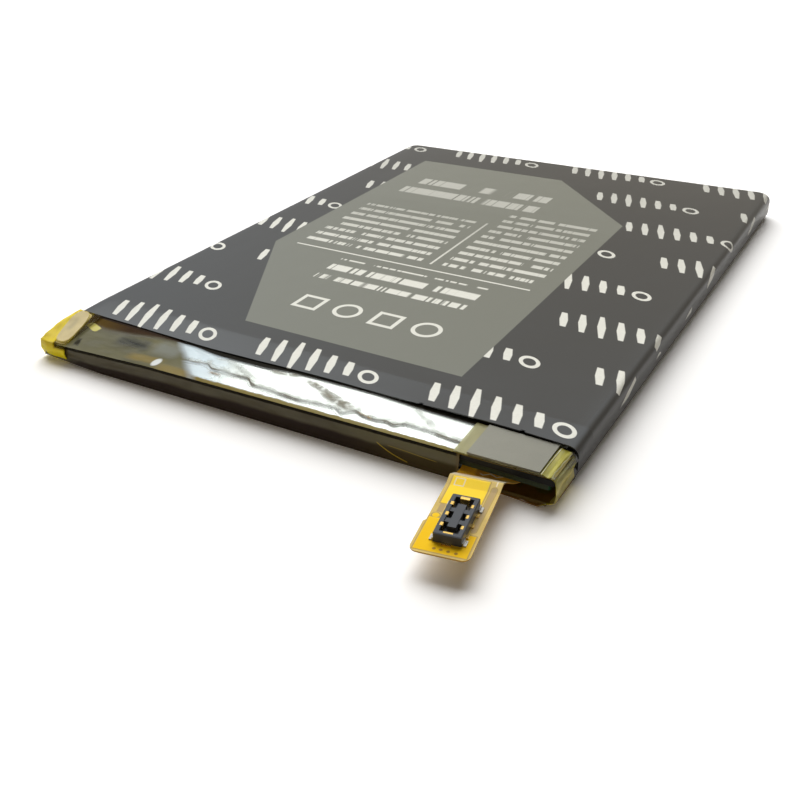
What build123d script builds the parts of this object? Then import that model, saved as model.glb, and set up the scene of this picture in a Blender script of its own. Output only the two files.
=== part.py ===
# Lithium-polymer battery for a mobile phone: a pouch cell in a printed film sleeve, with its
# protection board, tapes and formed flex lead at the near end.
# Sizes are millimetres. X runs along the near edge, +Y runs to the far edge and Z is up.
# The origin is the middle of the sleeve's back face, which lies on the table.

import os
from math import cos, radians, sin

from build123d import *

os.makedirs("parts", exist_ok=True)

# Whole pack and film sleeve
PACK_WIDTH = 62.0
FILM_LENGTH = 78.0
PACK_THICKNESS = 3.5
FILM = 0.12
FILM_EDGE_RADIUS = 1.0
FILM_CORNER_RADIUS = 2.0

# Pouch cell inside the sleeve, with the side seals folded up against its long sides
CELL_CLEARANCE = 0.06
CELL_SETBACK = 2.0
CELL_WALL_SLOPE = 0.7
SIDE_SEAL = 0.22
SIDE_SEAL_END_GAP = 2.5
CELL_EDGE_RADIUS = 0.9
CELL_CORNER_RADIUS = 2.2
LEDGE_THICKNESS = 0.3
LEDGE_END_GAP = 0.55
LEDGE_SIDE_GAP = 0.8
LEDGE_ROOT_OVERLAP = 0.8

# Taped strip in front of the film's mouth. It is deeper, lower and lifted at its left end.
STRIP_END_INSET = 0.4
STRIP_BEND_SHARE = 0.25
STRIP_CREST_SHARE = 0.66
STRIP_DEPTH_LEFT = 6.1
STRIP_DEPTH_RIGHT = 4.6
ROOT_DROP_LEFT = 0.3
ROOT_DROP_BEND = 0.62
ROOT_DROP_CREST = 0.22
ROOT_DROP_RIGHT = 0.52
FOLD_DROP_LEFT = 1.55
FOLD_DROP_BEND = 0.95
FOLD_DROP_CREST = 0.79
FOLD_DROP_RIGHT = 0.65
STRIP_LIFT_LEFT = 0.45
STRIP_FLOOR_GAP = 0.03
RIDGE_DROP = 0.8
RIDGE_REACH = 0.15
FOOT_SETBACK = 0.1

# Tapes, pad and plate on the strip
TAPE = 0.08
TAPE_TUCK = 1.3
TUCK_SIDE_GAP = 2.6
LAYER_GAP = 0.02
LEDGE_TAPE_GAP = 0.03
MOUTH_GAP = 0.05
LEFT_TAPE_WIDTH = 3.4
RIGHT_TAPE_WIDTH = 1.4
END_PAD_WIDTH = 1.8
END_PAD_LEAN = 1.2
END_PAD_THICKNESS = 0.1
END_PAD_CORNER_RADIUS = 0.7
END_PAD_INSET = 0.2
PLATE_LENGTH = 6.9
PLATE_THICKNESS = 0.16
PLATE_EDGE_GAP = 0.12
COVER_MARGIN = 1.3
WINDOW_LENGTH = 8.9
FLAP_REACH = 0.75
FLAP_REACH_LEFT = 0.25
FLAP_CORNER_RADIUS = 1.2

# Protection board under the ledge
INSULATOR = 0.15
INSULATOR_LENGTH = 10.2
INSULATOR_HEIGHT = 0.74
INSULATOR_BEND_RADIUS = 0.12
BOARD_LENGTH = 43.0
BOARD_WIDTH = 3.7
BOARD_THICKNESS = 0.55
BOARD_SETBACK = 0.22
BOARD_END_GAP = 0.4
BOARD_CORNER_RADIUS = 0.4
FOAM_THICKNESS = 0.25
FOAM_END_GAP = 1.2
FOAM_SIDE_GAP = 0.5

# Tabs of the cell and their weld plates under the board
TAB_WIDTH = 3.0
TAB_THICKNESS = 0.1
TAB_BEND_RADIUS = 0.2
TAB_REACH = 0.3
TAB_PLATE_LENGTH = 3.8
TAB_PLATE_WIDTH = 2.6
TAB_PLATE_THICKNESS = 0.15
TAB_WELD_LENGTH = 2.2

# Parts of the protection circuit, in a row under the board with the weld plates
CHIP_LENGTH = 2.0
CHIP_WIDTH = 2.0
CHIP_HEIGHT = 0.6
TRANSISTOR_LENGTH = 3.0
TRANSISTOR_WIDTH = 2.0
TRANSISTOR_HEIGHT = 0.7
TRANSISTOR_PITCH = 3.4
CHIP_PART_LENGTH = 1.0
CHIP_PART_WIDTH = 0.5
CHIP_PART_PITCH = 1.1
RESISTOR_HEIGHT = 0.35
RESISTOR_COUNT = 3
CAPACITOR_HEIGHT = 0.5
CAPACITOR_COUNT = 2
FUSE_LENGTH = 2.2
FUSE_WIDTH = 1.6
FUSE_HEIGHT = 0.6

# Flex lead: it leaves the board's underside, rises over a hump and runs level to its tip
FLEX = 0.12
FLEX_TURN = 10.5
FLEX_FROM_BOARD_END = 6.2
FLEX_ROOT_LENGTH = 2.6
FLEX_ROOT_LEFT = 2.2
FLEX_ROOT_RIGHT = 3.6
FLEX_ROOT_OUTREACH = 0.65
FLEX_WIDTH = 4.8
FLEX_TIP_WIDTH = 5.0
FLEX_LENGTH = 12.8
FLEX_TIP_LENGTH = 3.8
FLEX_LEVEL_HEIGHT = 2.04
FLEX_HUMP_HEIGHT = 2.3
FLEX_HUMP_PLACE = 2.4
FLEX_LEVEL_PLACE = 3.6
FLEX_BEND_RADIUS = 0.5
FLEX_CORNER_RADIUS = 0.7
FLEX_JOG_RADIUS = 0.12
STIFFENER = 0.2
STIFFENER_LENGTH = 7.6
STIFFENER_INSET = 0.2
SOLDER_PAD_WIDTH = 0.8
SOLDER_PAD_LENGTH = 1.2
SOLDER_PAD_PITCH = 1.35
SOLDER_PAD_COUNT = 4
SOLDER_HEIGHT = 0.12
SOLDER_ROUNDING = 0.1

# Board-to-board connector on the lead
CONNECTOR_FROM_TIP = 4.25
CONNECTOR_SHIFT = 0.15
CONNECTOR_WIDTH = 2.4
CONNECTOR_LENGTH = 5.45
CONNECTOR_HEIGHT = 0.9
CONNECTOR_WALL = 0.4
CONNECTOR_FLOOR = 0.25
CONNECTOR_CHAMFER = 0.07
CONNECTOR_CORNER_RADIUS = 0.12
ISLAND_WIDTH = 0.72
ISLAND_LENGTH = 3.1
ISLAND_DROP = 0.06
RIB_LENGTH = 0.5
RIB_DROP = 0.1
CONTACT_PITCH = 1.43
CONTACT_COUNT = 3
CONTACT_WIDTH = 0.42
CONTACT_THICKNESS = 0.1
CONTACT_HOOK = 0.24
CONTACT_FOOT = 0.24
CONTACT_BEND_RADIUS = 0.08
POWER_CONTACT_WIDTH = 0.8
FIT = 0.015
HOLD_DOWN_LENGTH = 0.7
HOLD_DOWN_END_GAP = 0.1
HOLD_DOWN_REACH = 0.28
HOLD_DOWN_HEIGHT = 0.3
HOLD_DOWN_THICKNESS = 0.1

# Places that follow from the sizes above
mouth_y = -FILM_LENGTH / 2
film_inner_half = PACK_WIDTH / 2 - FILM
film_inner_top = PACK_THICKNESS - FILM
cell_half = film_inner_half - CELL_CLEARANCE - SIDE_SEAL
cell_bottom = FILM + CELL_CLEARANCE
cell_top = film_inner_top - CELL_CLEARANCE
cell_near_y = mouth_y + CELL_SETBACK
cell_far_y = FILM_LENGTH / 2 - FILM - CELL_CLEARANCE

strip_half = PACK_WIDTH / 2 - STRIP_END_INSET
strip_bend_x = -strip_half + 2 * strip_half * STRIP_BEND_SHARE
strip_crest_x = -strip_half + 2 * strip_half * STRIP_CREST_SHARE
strip_floor_z = FILM + STRIP_FLOOR_GAP

board_right = strip_half - BOARD_END_GAP
board_left = board_right - BOARD_LENGTH
board_middle_x = (board_left + board_right) / 2
window_y = mouth_y - STRIP_DEPTH_RIGHT
board_front_y = window_y + BOARD_SETBACK
board_back_y = board_front_y + BOARD_WIDTH
board_middle_y = (board_front_y + board_back_y) / 2

plate_right = strip_half - RIGHT_TAPE_WIDTH
plate_left = plate_right - PLATE_LENGTH
cover_left = plate_left - COVER_MARGIN
window_left = strip_half - WINDOW_LENGTH


# Row under the board, from its left end to the lead's root, with even gaps between its parts
turn = radians(FLEX_TURN)
flex_start = (board_right - FLEX_FROM_BOARD_END, window_y, 0)
row_end = flex_start[0] - FLEX_ROOT_LEFT * cos(turn) - FLEX_ROOT_LENGTH * sin(turn)
row_lengths = {
    "fuse": FUSE_LENGTH,
    "positive": TAB_PLATE_LENGTH,
    "transistors": TRANSISTOR_LENGTH + TRANSISTOR_PITCH,
    "chip": CHIP_LENGTH,
    "negative": TAB_PLATE_LENGTH,
    "resistors": CHIP_PART_WIDTH + (RESISTOR_COUNT - 1) * CHIP_PART_PITCH,
    "capacitors": CHIP_PART_WIDTH + (CAPACITOR_COUNT - 1) * CHIP_PART_PITCH,
    "thermistor": CHIP_PART_WIDTH,
}
row_gap = (row_end - board_left - sum(row_lengths.values())) / (len(row_lengths) + 1)
row_places = {}
row_x = board_left + row_gap
for row_part, row_length in row_lengths.items():
    row_places[row_part] = row_x + row_length / 2
    row_x += row_length + row_gap


# Forms shared by the sub-parts. Along the strip, a value changes evenly from one end to the
# other, or evenly between the left end, the bend, the crest and the right end.
def along(left, right, x):
    share = (x + strip_half) / (2 * strip_half)
    return left + (right - left) * share


def bent_along(left, bend, crest, right, x):
    if x < strip_bend_x:
        return left + (bend - left) * (x + strip_half) / (strip_bend_x + strip_half)
    if x < strip_crest_x:
        return bend + (crest - bend) * (x - strip_bend_x) / (strip_crest_x - strip_bend_x)
    return crest + (right - crest) * (x - strip_crest_x) / (strip_half - strip_crest_x)


def strip_depth(x):
    return along(STRIP_DEPTH_LEFT, STRIP_DEPTH_RIGHT, x)


def root_z(x):
    return PACK_THICKNESS - bent_along(ROOT_DROP_LEFT, ROOT_DROP_BEND, ROOT_DROP_CREST, ROOT_DROP_RIGHT, x)


def fold_z(x):
    return PACK_THICKNESS - bent_along(FOLD_DROP_LEFT, FOLD_DROP_BEND, FOLD_DROP_CREST, FOLD_DROP_RIGHT, x)


def foot_z(x):
    return strip_floor_z + bent_along(STRIP_LIFT_LEFT, 0, 0, 0, x)


def strip_top(x, distance):
    """Height of the tape's top face at a distance in front of the film's mouth."""
    share = max(distance, 0) / strip_depth(x)
    return root_z(x) + (fold_z(x) - root_z(x)) * share


def tape_outline(x, inset, rear_y):
    """Outline of the taped strip across X, drawn in by the inset and open to the rear."""
    front = mouth_y - strip_depth(x) + inset
    return [
        (rear_y, root_z(x) - inset),
        (mouth_y, root_z(x) - inset),
        (front, fold_z(x) - inset),
        (front - RIDGE_REACH, fold_z(x) - RIDGE_DROP),
        (front + FOOT_SETBACK, foot_z(x) + inset),
        (rear_y, strip_floor_z + inset),
    ]


def layer_outline(x, near, far, lift, thickness):
    """Outline of a layer on the strip's top, between two distances from the film's mouth."""
    return [
        (mouth_y - near, strip_top(x, near) + lift),
        (mouth_y - far, strip_top(x, far) + lift),
        (mouth_y - far, strip_top(x, far) + lift + thickness),
        (mouth_y - near, strip_top(x, near) + lift + thickness),
    ]


# Heights of the stack in the window, counted down from the tape over its left end
insulator_left = strip_half - INSULATOR_LENGTH
insulator_top = fold_z(insulator_left) - TAPE - LAYER_GAP
insulator_bottom = insulator_top - INSULATOR_HEIGHT
board_top = insulator_bottom - LAYER_GAP
board_bottom = board_top - BOARD_THICKNESS

# Film sleeve: a rolled flat tube, closed at the far end and open at the near one
with BuildPart() as film_hollow:
    with BuildSketch(Plane.XY.offset(FILM)):
        with BuildLine():
            Polyline(
                (-film_inner_half, mouth_y - FILM_CORNER_RADIUS),
                (film_inner_half, mouth_y - FILM_CORNER_RADIUS),
                (film_inner_half, FILM_LENGTH / 2 - FILM),
                (-film_inner_half, FILM_LENGTH / 2 - FILM),
                close=True,
            )
        make_face()
    extrude(amount=PACK_THICKNESS - 2 * FILM)
    far_uprights = film_hollow.edges().filter_by(Axis.Z).group_by(Axis.Y)[-1]
    fillet(far_uprights, FILM_CORNER_RADIUS - FILM)
    hollow_rims = film_hollow.faces().filter_by(Axis.Z).edges()
    fillet(hollow_rims.filter_by(lambda rim: rim.center().Y > cell_near_y), FILM_EDGE_RADIUS - FILM)

with BuildPart() as label_film:
    with BuildSketch():
        Rectangle(PACK_WIDTH, FILM_LENGTH)
    extrude(amount=PACK_THICKNESS)
    far_uprights = label_film.edges().filter_by(Axis.Z).group_by(Axis.Y)[-1]
    fillet(far_uprights, FILM_CORNER_RADIUS)
    film_rims = label_film.faces().filter_by(Axis.Z).edges()
    fillet(film_rims.filter_by(lambda rim: rim.center().Y > cell_near_y), FILM_EDGE_RADIUS)
    add(film_hollow.part, mode=Mode.SUBTRACT)
label_film.part.label = "label_film"
export_step(label_film.part, "parts/label_film.step")

# Pouch cell: the formed body with a sloping near wall, the sealed ledge that runs out of it under
# the tape, and the side seals folded up against the body
with BuildPart() as pouch_cell:
    with BuildSketch(Plane.YZ):
        with BuildLine():
            Polyline(
                (cell_near_y, cell_top),
                (cell_far_y, cell_top),
                (cell_far_y, cell_bottom),
                (cell_near_y + CELL_WALL_SLOPE, cell_bottom),
                close=True,
            )
        make_face()
    extrude(amount=cell_half, both=True)
    far_corners = pouch_cell.edges().filter_by(Axis.Z).group_by(Axis.Y)[-1]
    fillet(far_corners, CELL_CORNER_RADIUS)
    rounded_from_y = cell_near_y + CELL_WALL_SLOPE + TAPE
    cell_rims = pouch_cell.faces().sort_by(Axis.Z)[0].edges() + pouch_cell.faces().sort_by(Axis.Z)[-1].edges()
    fillet(cell_rims.filter_by(lambda rim: rim.center().Y > rounded_from_y), CELL_EDGE_RADIUS)
    ledge_lower = TAPE + LEDGE_TAPE_GAP
    ledge_half = strip_half - LEDGE_SIDE_GAP
    for x in (-ledge_half, strip_bend_x, strip_crest_x, ledge_half):
        edge = strip_depth(x) - LEDGE_END_GAP
        ledge_root_z = root_z(x) - ledge_lower
        with BuildSketch(Plane.YZ.offset(x)):
            with BuildLine():
                Polyline(
                    (cell_near_y + LEDGE_ROOT_OVERLAP, ledge_root_z),
                    (mouth_y, ledge_root_z),
                    (mouth_y - edge, strip_top(x, edge) - ledge_lower),
                    (mouth_y - edge, strip_top(x, edge) - ledge_lower - LEDGE_THICKNESS),
                    (mouth_y, ledge_root_z - LEDGE_THICKNESS),
                    (cell_near_y + LEDGE_ROOT_OVERLAP, ledge_root_z - LEDGE_THICKNESS),
                    close=True,
                )
            make_face()
    loft(ruled=True)
    notch_back_y = window_y + 2 * INSULATOR + LAYER_GAP
    with BuildSketch(Plane.XY.offset(strip_floor_z)):
        with BuildLine():
            Polyline(
                (insulator_left - INSULATOR, notch_back_y),
                (PACK_WIDTH / 2, notch_back_y),
                (PACK_WIDTH / 2, mouth_y - STRIP_DEPTH_LEFT),
                (insulator_left - INSULATOR, mouth_y - STRIP_DEPTH_LEFT),
                close=True,
            )
        make_face()
    extrude(amount=PACK_THICKNESS, mode=Mode.SUBTRACT)
    seal_middle_y = (cell_near_y + cell_far_y) / 2
    seal_length = cell_far_y - cell_near_y - 2 * SIDE_SEAL_END_GAP
    with BuildSketch(Plane.XY.offset(FILM_EDGE_RADIUS)):
        for side in (-1, 1):
            with Locations((side * (cell_half + SIDE_SEAL / 2), seal_middle_y)):
                Rectangle(SIDE_SEAL, seal_length)
    extrude(amount=PACK_THICKNESS - 2 * FILM_EDGE_RADIUS)
pouch_cell.part.label = "pouch_cell"
export_step(pouch_cell.part, "parts/pouch_cell.step")

# Wrap tape: folded over the ledge, down the front and back under the cell, tucked under the film.
# Its front is cut away in the window where the lead comes out.
with BuildPart() as wrap_tape:
    tuck_y = mouth_y + TAPE_TUCK
    for x in (-strip_half, strip_bend_x, strip_crest_x, strip_half):
        with BuildSketch(Plane.YZ.offset(x)):
            with BuildLine():
                Polyline(*tape_outline(x, 0, tuck_y), close=True)
            make_face()
    loft(ruled=True)
    for x in (-strip_half - TAPE, strip_bend_x, strip_crest_x, strip_half + TAPE):
        with BuildSketch(Plane.YZ.offset(x)):
            with BuildLine():
                Polyline(*tape_outline(x, TAPE, tuck_y + TAPE), close=True)
            make_face()
    loft(ruled=True, mode=Mode.SUBTRACT)
    with BuildSketch(Plane.XY):
        for side in (-1, 1):
            with Locations((side * strip_half, tuck_y - TAPE_TUCK / 2 - MOUTH_GAP)):
                Rectangle(2 * TUCK_SIDE_GAP, TAPE_TUCK + 2 * MOUTH_GAP + TAPE)
    extrude(amount=PACK_THICKNESS, mode=Mode.SUBTRACT)
    with BuildSketch(Plane.XZ.offset(-mouth_y)):
        with BuildLine():
            Polyline(
                (window_left, strip_floor_z + TAPE),
                (PACK_WIDTH / 2, strip_floor_z + TAPE),
                (PACK_WIDTH / 2, insulator_top),
                (window_left, insulator_top),
                close=True,
            )
        make_face()
    extrude(amount=2 * STRIP_DEPTH_LEFT, mode=Mode.SUBTRACT)
wrap_tape.part.label = "wrap_tape"
export_step(wrap_tape.part, "parts/wrap_tape.step")

# Left end tape: folded over the top, front and end of the strip, with room for the pad below it
with BuildPart() as left_end_tape:
    left_gap = 2 * LAYER_GAP + END_PAD_THICKNESS
    left_end_x = -strip_half - left_gap
    left_edge_x = -strip_half + LEFT_TAPE_WIDTH
    for x in (left_end_x - TAPE, left_edge_x):
        with BuildSketch(Plane.YZ.offset(x)):
            with BuildLine():
                Polyline(*tape_outline(x, -left_gap - TAPE, mouth_y + TAPE), close=True)
            make_face()
    loft(ruled=True)
    for x in (left_end_x, left_edge_x + TAPE):
        with BuildSketch(Plane.YZ.offset(x)):
            with BuildLine():
                Polyline(*tape_outline(x, -left_gap, mouth_y + 2 * TAPE), close=True)
            make_face()
    loft(ruled=True, mode=Mode.SUBTRACT)
    with BuildSketch(Plane.XY.offset(strip_floor_z)):
        Rectangle(2 * PACK_WIDTH, 2 * FILM_LENGTH)
    extrude(amount=-PACK_THICKNESS, mode=Mode.SUBTRACT)
    with BuildSketch(Plane.XZ.offset(MOUTH_GAP - mouth_y)):
        Rectangle(2 * PACK_WIDTH, 4 * PACK_THICKNESS)
    extrude(amount=-CELL_SETBACK, mode=Mode.SUBTRACT)
left_end_tape.part.label = "left_end_tape"
export_step(left_end_tape.part, "parts/left_end_tape.step")

# End pad: a narrow rounded pad that leans across the left end, between wrap tape and end tape
with BuildPart() as end_pad:
    pad_depth = STRIP_DEPTH_LEFT - 2 * END_PAD_INSET - MOUTH_GAP
    pad_x = -strip_half + END_PAD_INSET + END_PAD_WIDTH / 2
    for x in (-strip_half, left_edge_x):
        with BuildSketch(Plane.YZ.offset(x)):
            with BuildLine():
                Polyline(*layer_outline(x, 0, strip_depth(x), LAYER_GAP, END_PAD_THICKNESS), close=True)
            make_face()
    loft(ruled=True)
    with BuildSketch() as pad_plan:
        with BuildLine():
            Polyline(
                (pad_x - END_PAD_WIDTH / 2, mouth_y - END_PAD_INSET),
                (pad_x + END_PAD_WIDTH / 2, mouth_y - END_PAD_INSET),
                (pad_x + END_PAD_WIDTH / 2 + END_PAD_LEAN, mouth_y - END_PAD_INSET - pad_depth),
                (pad_x - END_PAD_WIDTH / 2 + END_PAD_LEAN, mouth_y - END_PAD_INSET - pad_depth),
                close=True,
            )
        make_face()
        fillet(pad_plan.vertices(), END_PAD_CORNER_RADIUS)
    extrude(amount=PACK_THICKNESS, mode=Mode.INTERSECT)
end_pad.part.label = "end_pad"
export_step(end_pad.part, "parts/end_pad.step")

# Cover tape: a second layer on the strip's top, whose left margin shows beside the plate
with BuildPart() as cover_tape:
    for x in (cover_left, plate_right):
        far = strip_depth(x) - TAPE
        with BuildSketch(Plane.YZ.offset(x)):
            with BuildLine():
                Polyline(*layer_outline(x, MOUTH_GAP, far, LAYER_GAP, TAPE), close=True)
            make_face()
    loft(ruled=True)
cover_tape.part.label = "cover_tape"
export_step(cover_tape.part, "parts/cover_tape.step")

# Grey plate: a thin stiff plate on the cover tape
with BuildPart() as grey_plate:
    for x in (plate_left, plate_right):
        far = strip_depth(x) - PLATE_EDGE_GAP
        with BuildSketch(Plane.YZ.offset(x)):
            with BuildLine():
                Polyline(*layer_outline(x, MOUTH_GAP, far, 2 * LAYER_GAP + TAPE, PLATE_THICKNESS), close=True)
            make_face()
    loft(ruled=True)
grey_plate.part.label = "grey_plate"
export_step(grey_plate.part, "parts/grey_plate.step")

# Right end tape: folded over the top of the strip beside the plate, and down its end
with BuildPart() as right_end_tape:
    right_edge_x = plate_right + PLATE_EDGE_GAP
    right_end_x = strip_half + LAYER_GAP
    for x in (right_edge_x, right_end_x + TAPE):
        far = strip_depth(x) - TAPE
        with BuildSketch(Plane.YZ.offset(x)):
            with BuildLine():
                Polyline(
                    (mouth_y - MOUTH_GAP, strip_floor_z),
                    (mouth_y - MOUTH_GAP, strip_top(x, MOUTH_GAP) + LAYER_GAP + TAPE),
                    (mouth_y - far, strip_top(x, far) + LAYER_GAP + TAPE),
                    (mouth_y - far, strip_floor_z),
                    close=True,
                )
            make_face()
    loft(ruled=True)
    for x in (right_edge_x - TAPE, right_end_x):
        with BuildSketch(Plane.YZ.offset(x)):
            with BuildLine():
                Polyline(
                    (mouth_y, strip_floor_z - TAPE),
                    (mouth_y, root_z(x) + LAYER_GAP),
                    (mouth_y - STRIP_DEPTH_LEFT, strip_top(x, STRIP_DEPTH_LEFT) + LAYER_GAP),
                    (mouth_y - STRIP_DEPTH_LEFT, strip_floor_z - TAPE),
                    close=True,
                )
            make_face()
    loft(ruled=True, mode=Mode.SUBTRACT)
right_end_tape.part.label = "right_end_tape"
export_step(right_end_tape.part, "parts/right_end_tape.step")

# Bottom flap: a loose tongue of tape at the foot of the window, rounded at its free corner
with BuildPart() as bottom_flap:
    with BuildSketch(Plane.XY.offset(strip_floor_z - LAYER_GAP)) as flap_plan:
        with BuildLine():
            Polyline(
                (window_left, mouth_y - MOUTH_GAP),
                (strip_half + LAYER_GAP + TAPE, mouth_y - MOUTH_GAP),
                (strip_half + LAYER_GAP + TAPE, window_y - FLAP_REACH),
                (window_left, window_y - FLAP_REACH_LEFT),
                close=True,
            )
        make_face()
        fillet(flap_plan.vertices().sort_by(Axis.Y)[0], FLAP_CORNER_RADIUS)
    extrude(amount=-TAPE)
bottom_flap.part.label = "bottom_flap"
export_step(bottom_flap.part, "parts/bottom_flap.step")

# Insulating strip: black strip folded to an L over the edge of ledge and board
with BuildPart() as insulating_strip:
    insulator_middle_x = (insulator_left + strip_half - LAYER_GAP) / 2
    with BuildSketch(Plane.YZ.offset(insulator_middle_x)):
        with BuildLine():
            FilletPolyline(
                (board_back_y - FOAM_SIDE_GAP, insulator_bottom + INSULATOR / 2),
                (window_y + INSULATOR / 2, insulator_bottom + INSULATOR / 2),
                (window_y + INSULATOR / 2, insulator_top),
                radius=INSULATOR_BEND_RADIUS,
            )
        trace(line_width=INSULATOR)
    extrude(amount=(strip_half - LAYER_GAP - insulator_left) / 2, both=True)
insulating_strip.part.label = "insulating_strip"
export_step(insulating_strip.part, "parts/insulating_strip.step")

# Protection board, and the foam that holds it under the ledge
with BuildPart() as protection_board:
    with BuildSketch(Plane.XY.offset(board_top)):
        with Locations((board_middle_x, board_middle_y)):
            RectangleRounded(BOARD_LENGTH, BOARD_WIDTH, BOARD_CORNER_RADIUS)
    extrude(amount=-BOARD_THICKNESS)
protection_board.part.label = "protection_board"
export_step(protection_board.part, "parts/protection_board.step")

with BuildPart() as adhesive_pad:
    foam_left = board_left + FOAM_END_GAP
    foam_right = insulator_left - FOAM_END_GAP
    with BuildSketch(Plane.XY.offset(board_top)):
        with Locations(((foam_left + foam_right) / 2, board_middle_y)):
            Rectangle(foam_right - foam_left, BOARD_WIDTH - 2 * FOAM_SIDE_GAP)
    extrude(amount=FOAM_THICKNESS)
adhesive_pad.part.label = "adhesive_pad"
export_step(adhesive_pad.part, "parts/adhesive_pad.step")

# Weld plates under the board, and the cell's tabs folded round the board's edge onto them
with BuildPart() as tab_plates:
    with BuildSketch(Plane.XY.offset(board_bottom)):
        for tab_x in (row_places["positive"], row_places["negative"]):
            with Locations((tab_x, board_middle_y)):
                Rectangle(TAB_PLATE_LENGTH, TAB_PLATE_WIDTH)
    extrude(amount=-TAB_PLATE_THICKNESS)
tab_plates.part.label = "tab_plates"
export_step(tab_plates.part, "parts/tab_plates.step")


def folded_tab(x):
    """Strip that leaves the ledge's edge, turns down past the board and runs back to its plate."""
    edge = strip_depth(x + TAB_WIDTH / 2) - LEDGE_END_GAP
    start_y = mouth_y - strip_depth(x - TAB_WIDTH / 2) + LEDGE_END_GAP - LAYER_GAP
    start_z = strip_top(x, edge) - TAPE - LEDGE_TAPE_GAP - LEDGE_THICKNESS / 2
    weld_z = board_bottom - TAB_PLATE_THICKNESS - TAB_THICKNESS / 2
    weld_y = board_middle_y - TAB_PLATE_WIDTH / 2 + TAB_WELD_LENGTH
    with BuildPart() as tab:
        with BuildSketch(Plane.YZ.offset(x)):
            with BuildLine():
                FilletPolyline(
                    (start_y, start_z),
                    (start_y - TAB_REACH, start_z),
                    (start_y - TAB_REACH, weld_z),
                    (weld_y, weld_z),
                    radius=TAB_BEND_RADIUS,
                )
            trace(line_width=TAB_THICKNESS)
        extrude(amount=TAB_WIDTH / 2, both=True)
    return tab.part


with BuildPart() as positive_tab:
    add(folded_tab(row_places["positive"]))
positive_tab.part.label = "positive_tab"
export_step(positive_tab.part, "parts/positive_tab.step")

with BuildPart() as negative_tab:
    add(folded_tab(row_places["negative"]))
negative_tab.part.label = "negative_tab"
export_step(negative_tab.part, "parts/negative_tab.step")

# Protection circuit, under the board
with BuildPart() as protection_chip:
    with BuildSketch(Plane.XY.offset(board_bottom)):
        with Locations((row_places["chip"], board_middle_y)):
            Rectangle(CHIP_LENGTH, CHIP_WIDTH)
    extrude(amount=-CHIP_HEIGHT)
protection_chip.part.label = "protection_chip"
export_step(protection_chip.part, "parts/protection_chip.step")

with BuildPart() as switch_transistors:
    with BuildSketch(Plane.XY.offset(board_bottom)):
        with Locations((row_places["transistors"], board_middle_y)):
            with GridLocations(TRANSISTOR_PITCH, 0, 2, 1):
                Rectangle(TRANSISTOR_LENGTH, TRANSISTOR_WIDTH)
    extrude(amount=-TRANSISTOR_HEIGHT)
switch_transistors.part.label = "switch_transistors"
export_step(switch_transistors.part, "parts/switch_transistors.step")

with BuildPart() as current_fuse:
    with BuildSketch(Plane.XY.offset(board_bottom)):
        with Locations((row_places["fuse"], board_middle_y)):
            Rectangle(FUSE_LENGTH, FUSE_WIDTH)
    extrude(amount=-FUSE_HEIGHT)
current_fuse.part.label = "current_fuse"
export_step(current_fuse.part, "parts/current_fuse.step")

with BuildPart() as resistors:
    with BuildSketch(Plane.XY.offset(board_bottom)):
        with Locations((row_places["resistors"], board_middle_y)):
            with GridLocations(CHIP_PART_PITCH, 0, RESISTOR_COUNT, 1):
                Rectangle(CHIP_PART_WIDTH, CHIP_PART_LENGTH)
    extrude(amount=-RESISTOR_HEIGHT)
resistors.part.label = "resistors"
export_step(resistors.part, "parts/resistors.step")

with BuildPart() as capacitors:
    with BuildSketch(Plane.XY.offset(board_bottom)):
        with Locations((row_places["capacitors"], board_middle_y)):
            with GridLocations(CHIP_PART_PITCH, 0, CAPACITOR_COUNT, 1):
                Rectangle(CHIP_PART_WIDTH, CHIP_PART_LENGTH)
    extrude(amount=-CAPACITOR_HEIGHT)
capacitors.part.label = "capacitors"
export_step(capacitors.part, "parts/capacitors.step")

with BuildPart() as thermistor:
    with BuildSketch(Plane.XY.offset(board_bottom)):
        with Locations((row_places["thermistor"], board_middle_y)):
            Rectangle(CHIP_PART_WIDTH, CHIP_PART_LENGTH)
    extrude(amount=-CAPACITOR_HEIGHT)
thermistor.part.label = "thermistor"
export_step(thermistor.part, "parts/thermistor.step")

# Flex lead. Its own frame starts at the board's edge: in flex_side, X runs along the lead to its
# tip and Y is up; in flex_plan, the tip lies towards -Y.
flex_side = Plane(origin=flex_start, x_dir=(sin(turn), -cos(turn), 0), z_dir=(-cos(turn), -sin(turn), 0))
flex_plan = Plane(origin=flex_start, x_dir=(cos(turn), sin(turn), 0), z_dir=(0, 0, 1))
flex_root_z = board_bottom - LAYER_GAP - FLEX / 2
flex_half = FLEX_WIDTH / 2
flex_shoulder = FLEX_LENGTH - FLEX_TIP_LENGTH

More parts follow.
